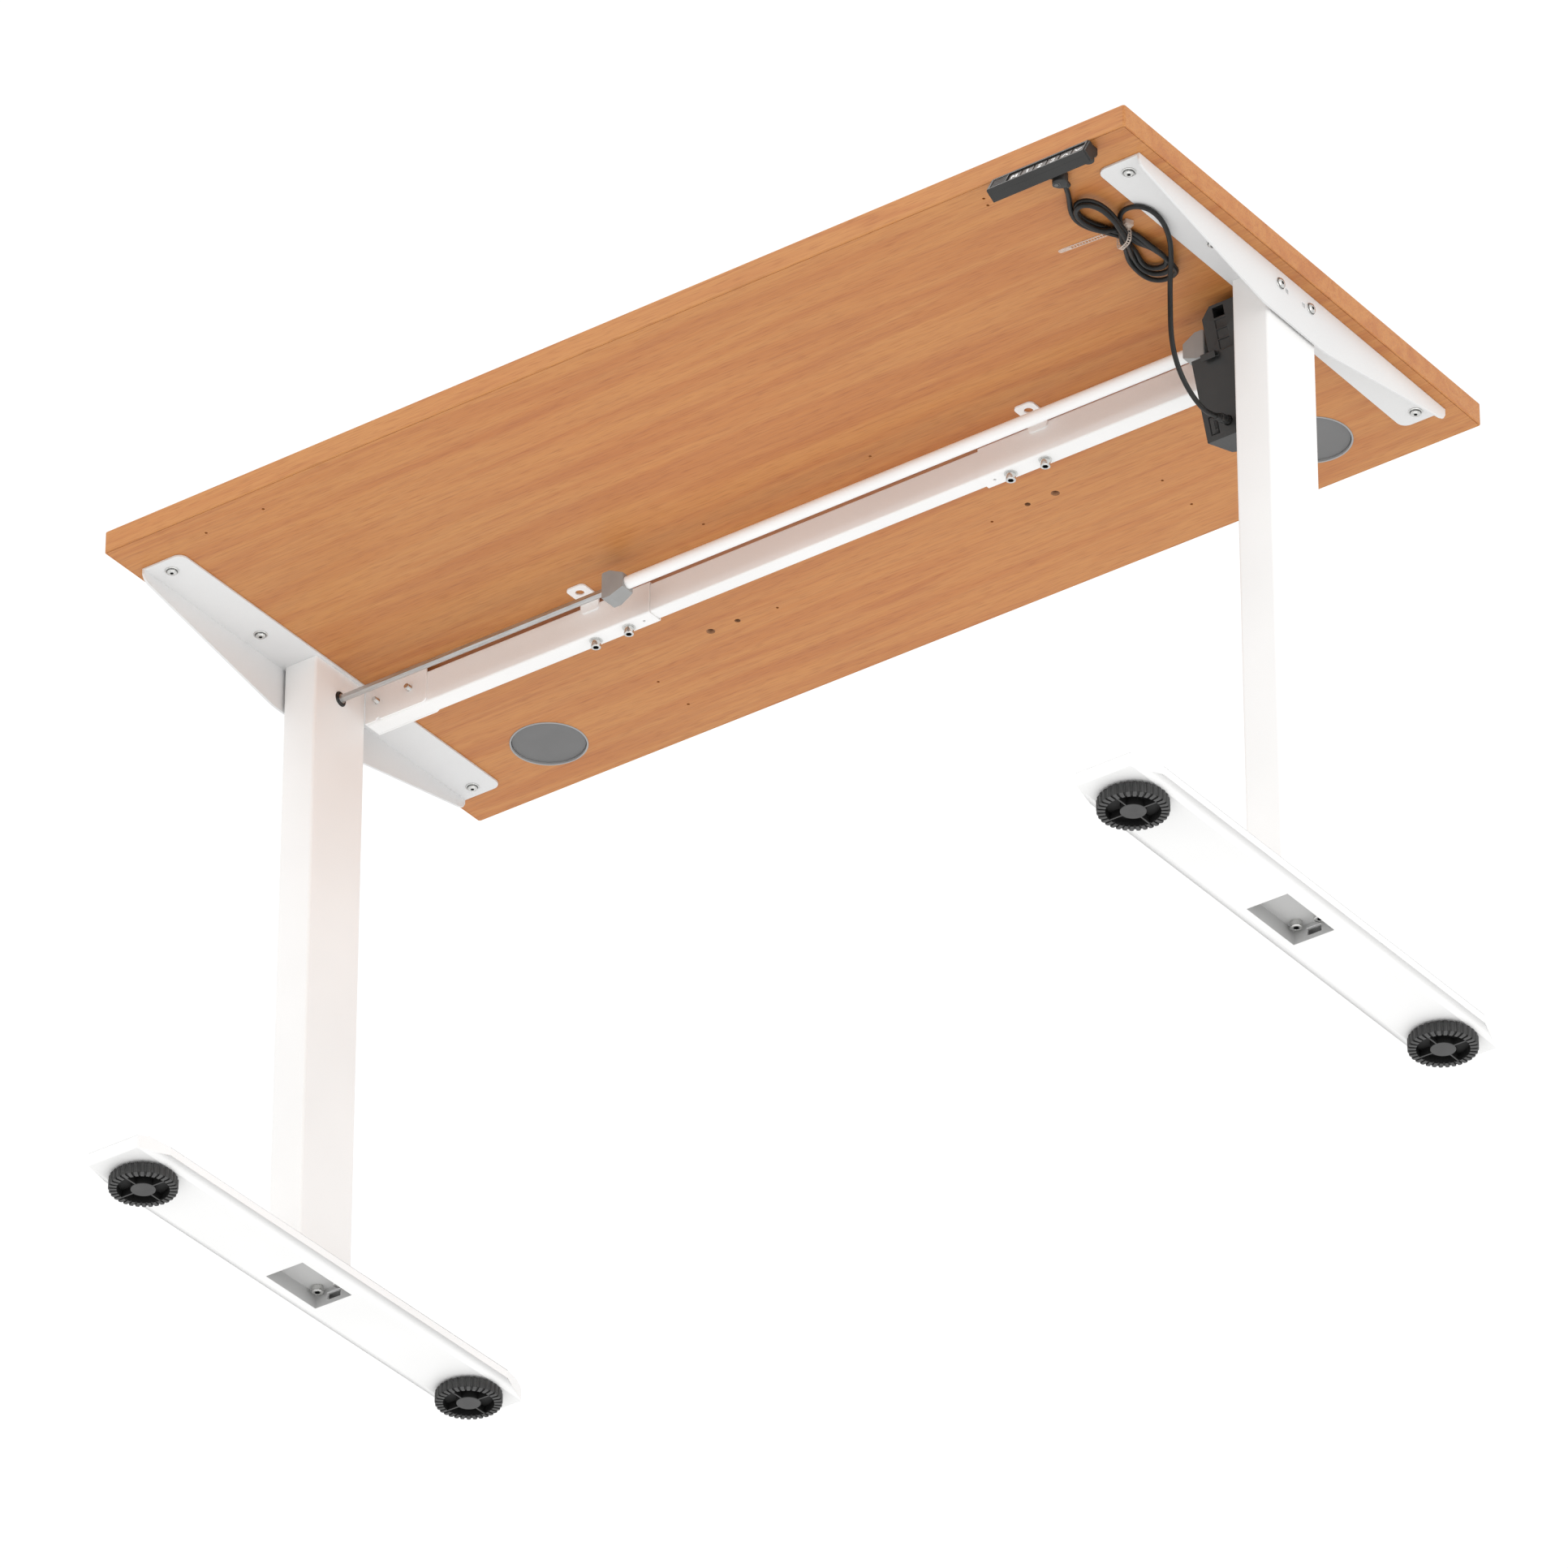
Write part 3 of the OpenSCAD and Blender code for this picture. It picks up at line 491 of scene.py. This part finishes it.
def settle(p, gap, rounds, still_a, still_b):
    """Pushes turns of the cord apart to gap, smoothing as it goes; still_a and still_b points stay put."""
    least_bend = 11.5  # bends of a smaller radius are opened
    apart, stiff, taut, opening, homing = 0.42, 0.2, 0.01, 0.35, 0.02  # share of each move per round
    n = len(p)
    home = p.copy()
    near = np.abs(np.arange(n)[:, None] - np.arange(n)[None, :]) <= int(3.2 * gap / CORD_STEP)
    move = np.ones((n, 1))
    move[:still_a] = 0
    move[n - still_b:] = 0
    for _ in range(rounds):
        d = p[:, None, :] - p[None, :, :]
        dist = np.sqrt((d ** 2).sum(2)) + 1e-9
        push = np.clip(gap - dist, 0, None)
        push[near] = 0
        shift = (d / dist[:, :, None] * push[:, :, None]).sum(1) * apart
        lap = np.zeros_like(p)
        lap[1:-1] = (p[:-2] + p[2:]) / 2 - p[1:-1]
        bend = np.zeros_like(p)
        bend[1:-1] = (lap[:-2] + lap[2:]) / 2 - lap[1:-1]
        arc = np.zeros_like(p)
        arc[2:-2] = p[:-4] + p[4:] - 2 * p[2:-2]
        size = np.linalg.norm(arc, axis=1) + 1e-9
        tight = np.clip(1 - (2 * CORD_STEP) ** 2 / (least_bend * size), 0, 1)[:, None]
        pull = homing * (home - p) * (1 - tight)
        p = p + move * (shift - stiff * bend + taut * lap + opening * tight * arc + pull)
        # above it are the bracket's flange at the right, the tie's tail, and elsewhere the desktop
        under_strap = (p[:, 1] > -177) & (p[:, 1] < -161) & (p[:, 0] < 518)
        top = np.where(p[:, 0] > 534, 700.9, np.where(under_strap, 702.35, 703.3))
        p[:, 2] = np.minimum(p[:, 2], top)
    return p


line = settle(spline(route, CORD_STEP), gap=CORD_D + 0.12, rounds=260, still_a=8, still_b=62)
cd = bpy.data.curves.new("handset_cord", "CURVE")
cd.dimensions, cd.use_fill_caps = "3D", True
cd.bevel_depth, cd.bevel_resolution, cd.resolution_u = CORD_D / 2 * mm, 5, 4
sp = cd.splines.new("NURBS")
knots = np.vstack([line[:-1:2], line[-1:]])
sp.points.add(len(knots) - 1)
for pt, c in zip(sp.points, knots):
    pt.co = (*(c * mm), 1)
sp.order_u, sp.use_endpoint_u = 4, True
cord = bpy.data.objects.new("handset_cord", cd)
scene.collection.objects.link(cord)
cd.materials.append(M["cord"])
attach(cord, "top")
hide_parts("cord_lead", "cord_hank", "cord_run")


# ---------------------------------------------------------------- turned parts
def facing(origin, axis):
    """Takes local +Z to axis at origin (mm)."""
    return Matrix.Translation(Vector(origin) * mm) @ Vector(axis).to_track_quat("Z", "Y").to_matrix().to_4x4()


def band(bm, low, high):
    """Faces between two closed rings of the same number of vertices."""
    n = len(low)
    return [bm.faces.new((low[i], low[(i + 1) % n], high[(i + 1) % n], high[i])) for i in range(n)]


def prism(bm, ends):
    """Closed bar between two end rings; gives its faces, sides first."""
    return [*band(bm, *ends), *[bm.faces.new(end) for end in ends]]


DOWN = (0, 0, -1)


def turned(bm, where, rows, n=36):
    """Revolves rows of (radius, height, material[, 'h' for a hexagon]) in mm round local Z."""
    rings = []
    for row in rows:
        r, z = row[0], row[1]
        if r <= 1e-6:
            rings.append([bm.verts.new(where @ Vector((0, 0, z * mm)))])
            continue
        ring = []
        for i in range(n):
            a = 2 * math.pi * i / n
            k = r / math.cos((a + math.pi / 6) % (math.pi / 3) - math.pi / 6) if len(row) > 3 else r
            ring.append(bm.verts.new(where @ Vector((k * math.cos(a) * mm, k * math.sin(a) * mm, z * mm))))
        rings.append(ring)
    for a, b, row in zip(rings, rings[1:], rows[1:]):
        for i in range(n):
            j = (i + 1) % n
            if len(a) == 1:
                f = bm.faces.new((a[0], b[i], b[j]))
            elif len(b) == 1:
                f = bm.faces.new((a[i], a[j], b[0]))
            else:
                f = bm.faces.new((a[i], a[j], b[j], b[i]))
            f.material_index = row[2]


def pan_screw(bm, at, axis, washer, head, high, flats, shank, length):
    """Pan-head socket screw on a thin washer."""
    turned(bm, facing(at, axis), [
        # material 1 paints the socket dark: painted shade
        (0, high - 1.7, 1), (flats / 2, high - 1.7, 1, "h"), (flats / 2, high - 0.06, 1, "h"),
        (flats / 2 + 0.6, high, 0), (head * 0.72, high - 0.12, 0), (head * 0.9, high - 0.42, 0),
        # material 2 rings the foot of the head with painted shadow
        (head, high - 1.0, 0), (head, 1.12, 0), (head + 0.8, 1.0, 2), (washer - 0.35, 1.0, 0),
        (washer, 0.75, 0), (washer, 0, 0), (shank, 0, 0), (shank, -length, 0), (0, -length - 0.8, 0)])


def cap_screw(bm, at, axis, washer, head, high, flats, deep, shank, length):
    """Cylinder-head socket screw, with a washer when it is wider than the head."""
    foot = [(head, 0, 0)]
    if washer > head:
        foot = [(head, 1.3, 0), (washer - 0.3, 1.2, 0), (washer, 0.9, 0), (washer, 0, 0)]
    turned(bm, facing(at, axis), [
        # material 1 paints the socket dark: painted shade
        (0, high - deep, 1), (flats / 2, high - deep, 1, "h"), (flats / 2, high - 0.1, 1, "h"),
        (flats / 2 + 0.5, high, 0), (head - 0.55, high, 0), (head - 0.15, high - 0.2, 0),
        (head, high - 0.6, 0), *foot, (shank, 0, 0), (shank, -length, 0), (0, -length - 0.5, 0)])


def fasteners(node, make, places):
    """One piece for all the screws of a CAD node; places holds make's arguments for each."""
    bm = bmesh.new()
    for p in places:
        make(bm, *p)
    # material 1 paints shade in the sockets, material 2 a painted shadow ring round each head
    return piece("fine_" + node, bm, ["zinc", "bearing", "screw_shadow"], BODY[node], node, smooth=40)


fasteners("bracket_screws", pan_screw, [((s * 563.5, y, FLANGE_Z), DOWN, 7, 5, 3.4, 3.4, 2.4, 12.5)
                                        for s in (-1, 1) for y in (-240, -101, 101, 241)])
fasteners("column_bolts", pan_screw, [((s * 587, y * 25.5, 690.5), (s, 0, 0), 6, 5, 3.2, 3.2, 3, 9)
                                      for s in (-1, 1) for y in (-1, 1)])
fasteners("rail_bolts", cap_screw, [((s * x, 51, 662.5), DOWN, 6.5, 5, 8.2, 5.4, 3.6, 3, 1.5)
                                    for s in (-1, 1) for x in (226.5, 266.5)])

# the screw behind the motor stands in the shadow of the fold: a dark face round its socket paints that shade
bm = bmesh.new()
turned(bm, facing((563.5, -101, FLANGE_Z), DOWN), [
    (1.9, 2.2, 0), (2.0, 2.52, 0), (4.2, 2.45, 0), (4.8, 2.05, 0), (4.9, 1.6, 0), (1.9, 2.2, 0)])
piece("shaded_screw_face", bm, "bearing", "top", smooth=40)

# dark cups that line the spare holes of the underside: painted shade inside the holes
bm = bmesh.new()
for s in (-1, 1):
    for x, mouth in ((173, 3.05), (205.5, 4.4)):
        turned(bm, facing((s * x, 156.5, UNDER_Z + 0.05), (0, 0, 1)), [
            (0, 9.4, 0), (2.9, 9.4, 0), (2.9, 1.9, 0), (mouth, 0.05, 0), (mouth - 0.1, 0, 0), (2.7, 1.9, 0),
            (2.7, 9.2, 0), (0, 9.2, 0)], 32)
piece("spare_hole_cups", bm, "core", "top", smooth=40)

for side, s in (("left", -1), ("right", 1)):
    fasteners("foot_bolts_" + side, cap_screw, [
        ((s * FOOT_X + x * 13, y * 29.5, 31), DOWN, 6, 6, 6.5, 5.2, 3.2, 3, 5.3)
        for x in (-1, 1) for y in (-1, 1)])


def stud_end(bm, x):
    """Bolt through the end bracket: threaded tip to the front, hexagon head behind."""
    thread = [(3.0 if i % 2 else 2.62, 33.0 - 0.45 * i, 0) for i in range(1, 22)]
    turned(bm, facing((x, 66.5, 685), (0, -1, 0)), [
        (0, 33.5, 0), (2.4, 33.5, 0), (2.95, 33.0, 0), *thread, (3, 3.5, 0), (4.9, 3.5, 0, "h"),
        (4.9, 0.4, 0, "h"), (4.5, 0, 0), (0, 0, 0)], 30)


fasteners("end_bracket_bolts", stud_end, [(s * x,) for s in (-1, 1) for x in (487, 527)])

# collars of the shaft's two end bearings
bm = bmesh.new()
for s in (-1, 1):
    turned(bm, facing((s * 543.4, 0, SHAFT_Z), (-s, 0, 0)), [
        (4.95, 0, 0), (7.9, 0, 0), (7.9, 1.7, 0), (7.2, 2.3, 0), (5.6, 2.3, 0), (5.1, 1.9, 0),
        (4.95, 0, 0)], 40)
piece("shaft_bearings", bm, "bearing", "top")


# ---------------------------------------------------------------- levelling discs
LANDS = 32  # round the rim of a disc
# points of one land and the notch after it: part of the pitch, and 1 on the land
LAND_STEPS = [(0.0, 1), (0.15, 1), (0.3, 1), (0.45, 1), (0.60, 1), (0.65, 0), (0.80, 0), (0.95, 0)]


def rim(part, land):
    """Radius of a disc's edge: lands are crowned, the notches between them are 1.2 mm deep."""
    return 33 - 0.7 * ((part - 0.3) / 0.3) ** 2 if land else 31.8


def under(land):
    """Height of a disc's underside: lands stand on the floor, the notches between them don't."""
    return 0.02 if land else 1.1


def level_disc(node, s, y):
    """Scalloped edge, radial lands under the rim, hollow with a hub and four spokes."""
    at = Matrix.Translation(Vector((s * FOOT_X, y * 251, 0)) * mm)
    spots = [((t + f) * 2 * math.pi / LANDS, f, land) for t in range(LANDS) for f, land in LAND_STEPS]
    bm = bmesh.new()

    def ring(rad, high):
        made = []
        for a, f, land in spots:
            r = rad(f, land)
            spot = Vector((r * math.cos(a) * mm, r * math.sin(a) * mm, high(land) * mm))
            made.append(bm.verts.new(at @ spot))
        return made

    # from inside the hollow, round the underside and up the edge
    rings = [ring(lambda f, l: 24.6, lambda l: 8.0), ring(lambda f, l: 25.0, lambda l: 2.0),
             ring(lambda f, l: 25.0, lambda l: under(l) + 0.25), ring(lambda f, l: 25.4, under),
             ring(lambda f, l: rim(f, l) - 1.3 if l else 30.2, under),
             ring(lambda f, l: rim(f, l) - 0.3, lambda l: under(l) + 0.5),
             ring(rim, lambda l: under(l) + 1.3), ring(rim, lambda l: 10.9),
             ring(lambda f, l: rim(f, l) - 0.7, lambda l: 12.0)]
    # 0 is the side and top, 1 what faces the floor, lighter as painted light from below, 2 the hollow and the
    # notches, darker as painted shade, 3 the stud
    skin = [2, 2, 1, 1, 1, 0, 0, 0]
    for a, b, m in zip(rings, rings[1:], skin):
        for i in range(len(spots)):
            j = (i + 1) % len(spots)
            f = bm.faces.new((a[i], a[j], b[j], b[i]))
            f.material_index = m if m != 1 or (spots[i][2] and spots[j][2]) else 2
    bm.faces.new(rings[0]).material_index = 2
    bm.faces.new(list(reversed(rings[-1]))).material_index = 0
    thread = [(5.0 if i % 2 else 4.55, 12.2 + 0.6 * i, 3) for i in range(1, 20)]
    turned(bm, at, [(0, 11.5, 3), (4.8, 11.5, 3), *thread, (4.2, 25, 3), (0, 25, 3)], 28)
    turned(bm, at, [(0, 0.1, 1), (11.4, 0.1, 1), (11.9, 0.5, 1), (12, 1.4, 2), (12, 8.1, 2), (0, 8.1, 2)], 56)
    spoke = ((-0.75, 8.1), (-0.75, 0.75), (-0.45, 0.4), (0.45, 0.4), (0.75, 0.75), (0.75, 8.1))
    for k in range(4):
        t = at @ Matrix.Rotation(k * math.pi / 2, 4, "Z")
        ends = [[bm.verts.new(t @ Vector((x * mm, w * mm, z * mm))) for w, z in spoke] for x in (11.5, 25.2)]
        for i, f in enumerate(prism(bm, ends)):
            f.material_index = 1 if i in (1, 2, 3) else 2
    piece("fine_" + node, bm, ["level", "level_painted_lit", "level_painted_shade", "zinc"], BODY[node], node, smooth=38)


for fr, y in (("front", -1), ("rear", 1)):
    for lr, s in (("left", -1), ("right", 1)):
        level_disc(f"leveller_{fr}_{lr}", s, y)


# ---------------------------------------------------------------- handset
# frame of the handset: on its top front edge, tilted as its face is
HS = Matrix.Translation(Vector((0, HANDSET_Y, UNDER_Z)) * mm) @ Matrix.Rotation(HANDSET_TILT, 4, "X")
MIDDLE = -10.3  # of the keys and the display, up the face
FIRST_KEY, KEY_PITCH = 480.1, 14.2


def hs(x, up, out):
    """Point on the handset: x along the desk, up its face, out towards the user (mm)."""
    return HS @ Vector((x * mm, -out * mm, up * mm))


def outline(cx, cy, w, h, r, n=5):
    """Rounded rectangle w by h about (cx, cy), with n steps round each corner."""
    pts = []
    for k, (sx, sy) in enumerate(((1, 1), (-1, 1), (-1, -1), (1, -1))):
        for i in range(n + 1):
            a = (k + i / n) * math.pi / 2
            pts.append((cx + sx * (w / 2 - r) + r * math.cos(a), cy + sy * (h / 2 - r) + r * math.sin(a)))
    return pts


def slab(bm, place, cx, cy, w, h, r, back, front, edge):
    """Rounded slab from back to front with a softened front edge."""
    levels = [(0, back), (0, front - edge), (edge * 0.3, front - edge * 0.3), (edge, front),
              (edge + 1.6, front)]
    rings = [[bm.verts.new(place(x, y, z)) for x, y in outline(cx, cy, w - 2 * g, h - 2 * g, max(r - g, 0.2))]
             for g, z in levels]
    for a, b in zip(rings, rings[1:]):
        band(bm, a, b)
    bm.faces.new(rings[0])
    bm.faces.new(rings[-1])


def stroke(bm, place, pts, width, z, mat):
    """Printed line of even width along pts; the stretches lap at the corners."""
    lap, thick = 0.6, 0.05
    for a, b in zip(pts, pts[1:]):
        a, b = Vector(a), Vector(b)
        d = (b - a).normalized() * width / 2
        s = Vector((-d.y, d.x))
        c = [a - d * lap + s, b + d * lap + s, b + d * lap - s, a - d * lap - s]
        low, high = ([bm.verts.new(place(p.x, p.y, q)) for p in c] for q in (z - thick, z))
        for f in (bm.faces.new(high), bm.faces.new(low), *band(bm, low, high)):
            f.material_index = mat


# printed sign of each key, from left to right
SIGNS = {
    "memory": [(-2.7, -3), (-2.7, 3), (0, -1.0), (2.7, 3), (2.7, -3)],
    "one": [(-1.1, 1.9), (0.5, 3.1), (0.5, -3.1)],
    "two": [(-1.7, 1.9), (-1.0, 2.9), (0.7, 3.1), (1.7, 2.2), (1.5, 0.8), (-1.8, -3.0), (1.9, -3.0)],
    "three": [(-1.6, 2.4), (-0.4, 3.1), (1.0, 3.0), (1.6, 1.8), (0.9, 0.4), (-0.3, 0.1), (1.0, -0.1),
              (1.8, -1.4), (1.1, -2.8), (-0.4, -3.1), (-1.8, -2.4)],
    "up": [(-3.3, -1.5), (0, 1.6), (3.3, -1.5)],
    "down": [(-3.3, 1.5), (0, -1.6), (3.3, 1.5)],
}
for i, (name, sign) in enumerate(SIGNS.items()):
    kx = FIRST_KEY + KEY_PITCH * i
    bm = bmesh.new()
    slab(bm, hs, kx, MIDDLE, 13.4, 13.4, 1.4, -4.8, -1.4, 0.5)
    slab(bm, hs, kx, MIDDLE, 6, 6, 0.6, -5.3, -4.7, 0.1)
    stroke(bm, lambda x, y, z: hs(kx + x, MIDDLE + y, z), sign, 1.15, -1.36, 1)
    piece("fine_key_" + name, bm, ["key", "mark"], BODY["key_" + name], "key_" + name, smooth=40)

refined("handset_case", "black", 0.0005)
refined("handset_base", "black", 0.0003)
bm = bmesh.new()
slab(bm, hs, 463.5, MIDDLE, 15.7, 13.9, 1.2, -1.25, -0.35, 0.25)
piece("display_lens", bm, "window", "top")

# parting line along the lower edge
bm = bmesh.new()
corners = ((-19.86, -5.9), (-19.86, -6.2), (-19.7, -6.2), (-19.7, -5.9))
prism(bm, [[bm.verts.new(hs(x, up, out)) for up, out in corners] for x in (451.6, 560.9)])
piece("handset_seam", bm, "bearing", "top")

# boss with its cap ring, and the tapered relief the cord leaves from
bm = bmesh.new()
turned(bm, facing((508, -271, UNDER_Z), DOWN), [
    (0, 11.3, 0), (6.2, 11.3, 0), (7.1, 10.9, 0), (7.5, 10.2, 0), (7.5, 0.1, 0), (0, 0.1, 0)], 48)
# the cap ring wears the lighter copy of the black plastic: painted highlight
turned(bm, facing((504.6, -272.4, 694.7), DOWN), [
    (0, 0.55, 1), (2.2, 0.55, 1), (2.5, 0.1, 0), (3.1, 0.1, 0), (3.3, 0.55, 1), (3.7, 0.5, 1), (3.9, -0.3, 1),
    (0, -0.3, 1)])
ribs = [(3.7 - 0.1 * i - (0.25 if i % 2 else 0), 4 + i * 0.8, 0) for i in range(8)]
turned(bm, facing((510, -271, 698.5), (0, 1, 0.02)), [
    (0, 0, 0), (3.7, 0, 0), *ribs, (2.7, 10.6, 0), (2.4, 10.8, 0), (0, 10.2, 0)], 32)
gland = piece("fine_cord_gland", bm, ["black", "black_painted_highlight"], "top", "cord_gland", smooth=40)


# ---------------------------------------------------------------- plug in the motor unit
UNIT = Matrix.Translation(Vector((0, 0, SHAFT_Z)) * mm) @ Matrix.Rotation(UNIT_TILT, 4, "X")
plug_at = UNIT @ facing((508, -24.5, -86.5), (0, -1, 0))
bm = bmesh.new()
turned(bm, plug_at, [
    (0, 0, 0), (4.0, 0, 0), (4.0, 3.2, 0), (3.5, 3.4, 0), (3.5, 4.6, 0), (4.4, 4.9, 0), (4.4, 9.5, 0),
    (4.15, 9.7, 0), (4.15, 10.4, 0), (4.4, 10.6, 0), (4.4, 15.6, 0), (3.9, 16.2, 0), (3.6, 16.4, 0),
    (3.5, 19, 0), (3.2, 19.2, 0), (3.2, 19.8, 0), (3.4, 20, 0), (3.2, 22.6, 0), (2.8, 23.8, 0),
    (0, 23.4, 0)], 32)
# ten grip ribs round its body
rib = ((4.2, -0.35), (4.65, -0.25), (4.65, 0.25), (4.2, 0.35))
for k in range(10):
    t = plug_at @ Matrix.Rotation(k * math.pi / 5, 4, "Z")
    prism(bm, [[bm.verts.new(t @ Vector((x * mm, w * mm, z * mm))) for x, w in rib] for z in (11, 15.2)])
plug = piece("fine_cord_plug", bm, "black", "top", "cord_plug", smooth=40)


# ---------------------------------------------------------------- ladder tie
def ladder(bm, at, length, rungs_from, pitch, wide, thick, tongue=False):
    """Strap of two rails with rungs; at(s, w, t) places a point along, across and through it.
    A tongue is a solid round end in place of the first stretch of rails."""
    rail, rung, lap = 1.0, 0.95, 0.02

    def bar(s0, s1, w0, w1):
        cuts = max(1, int((s1 - s0) / 1.2))
        rows = []
        for i in range(cuts + 1):
            s = s0 + (s1 - s0) * i / cuts
            rows.append([bm.verts.new(at(s, w, t)) for w, t in ((w0, 0), (w1, 0), (w1, thick), (w0, thick))])
        for a, b in zip(rows, rows[1:]):
            band(bm, a, b)
        bm.faces.new(rows[0])
        bm.faces.new(rows[-1])

    half = wide / 2
    start = rungs_from if tongue else 0
    bar(start, length, -half, -half + rail)
    bar(start, length, half - rail, half)
    s = rungs_from
    while s < length - 1.0:
        bar(s, s + rung, -half + rail - lap, half - rail + lap)
        s += pitch
    if tongue:
        turns = [math.pi * i / 14 for i in range(15)]
        pts = [(half * (1 - math.sin(a)), -half * math.cos(a)) for a in turns]
        pts += [(rungs_from + 0.2, half), (rungs_from + 0.2, -half)]
        low, high = ([bm.verts.new(at(a, b, t)) for a, b in pts] for t in (0, thick))
        bm.faces.new(low)
        bm.faces.new(high)
        band(bm, low, high)


# frame of the tie: in the middle of the bundle, turned with it
TIE = Matrix.Translation(Vector((*tie_c, 696.6)) * mm) @ Matrix.Rotation(math.radians(-24), 4, "Z")
loop = outline(0, 0, 18.4, 17.6, 5.5, 8)
loop.append(loop[0])
steps = np.concatenate([[0], np.cumsum([math.dist(a, b) for a, b in zip(loop, loop[1:])])])
loop_len = float(steps[-1])


def on_loop(s, w, t):
    """Point of the strap's loop round the bundle."""
    s = s % loop_len
    x, z = (float(np.interp(s, steps, [p[k] for p in loop])) for k in (0, 1))
    k = 1 + t / max(4.0, math.hypot(x, z))
    return TIE @ Vector((x * k * mm, w * mm, z * k * mm))


def on_tail(s, w, t):
    """Point of the strap's free tail, flat against the desktop and pointing left."""
    return Vector(((437 + s) * mm, (-171 + w + 0.05 * s) * mm, (705.0 + t) * mm))


def on_head(x, y, z):
    """Point of the tie's locking head, z downwards."""
    return TIE @ Matrix.Translation(Vector((14.2, -4.6, 6.2)) * mm) @ Vector((x * mm, y * mm, -z * mm))


bm = bmesh.new()
ladder(bm, on_loop, loop_len - 0.01, 0.4, 2.45, 4.2, 0.55)
ladder(bm, on_tail, 76, 13, 3.15, 5.0, 0.85, tongue=True)
strap = piece("fine_tie_strap", bm, "tie", "top", "cable_tie", smooth=40)
bm = bmesh.new()
slab(bm, on_head, 0, 0, 8.6, 8.8, 1.0, -2.6, 2.6, 0.5)
slab(bm, on_head, 0.6, 0, 3.4, 5.4, 0.6, 2.5, 3.1, 0.2)
head = piece("tie_head", bm, "tie", "top", smooth=40)


# ---------------------------------------------------------------- CAD nodes with softened edges
for node, mat, width in (
        ("side_bracket_left", "white", 0.0005),
        # the rails, tubes and end brackets wear the lighter copy of the white coat, painted light
        ("rail_outer_left", "white_painted_lit", 0.0003), ("rail_outer_right", "white_painted_lit", 0.0003),
        ("rail_inner", "white_painted_lit", 0.0003), ("rail_end_brackets", "white_painted_lit", 0.0002),
        ("outer_tube_left", "white_painted_lit", 0.0003), ("outer_tube_right", "white_painted_lit", 0.0003),
        ("shaft_tube", "white_painted_lit", 0.0004), ("shaft_couplings", "coupling", 0.0004),
        ("gearbox_housing", "black", 0.00035), ("motor_housing", "black", 0.0006),
        ("grommet_cap_left", "grommet", 0.0007), ("grommet_cap_right", "grommet", 0.0007),
        ("grommet_sleeves", "rim", 0.0005)):
    refined(node, mat, width)
# the right bracket's own mesh makes folded faces when it is softened, so it is the left one mirrored
refined("side_bracket_right", "white", 0.0005, twin="side_bracket_left")


def in_recess(f):
    """1 for the walls of the recess under a column, painted darker as shade, 0 elsewhere on a foot."""
    c = f.calc_center_median()
    inside = abs(abs(c.x) - FOOT_X * mm) < 0.0225 and abs(c.y) < 0.0385
    return 1 if inside and 0.0145 < c.z < 0.0315 else 0


def on_end(f):
    """1 for the band at the desk's two ends, whose grain runs along Y."""
    return 1 if abs(f.normal.x) > 0.7 else 0


# the feet wear a lighter copy of the white coat as painted light, and the walls of their recess a darker one
# as painted shade
for side in ("left", "right"):
    refined("foot_" + side, "foot", 0.0006, extra=["recess"], pick=in_recess, smooth=12)
refined("edge_band", "beech", 0.0009, segs=3, extra=["beech_y"], pick=on_end)
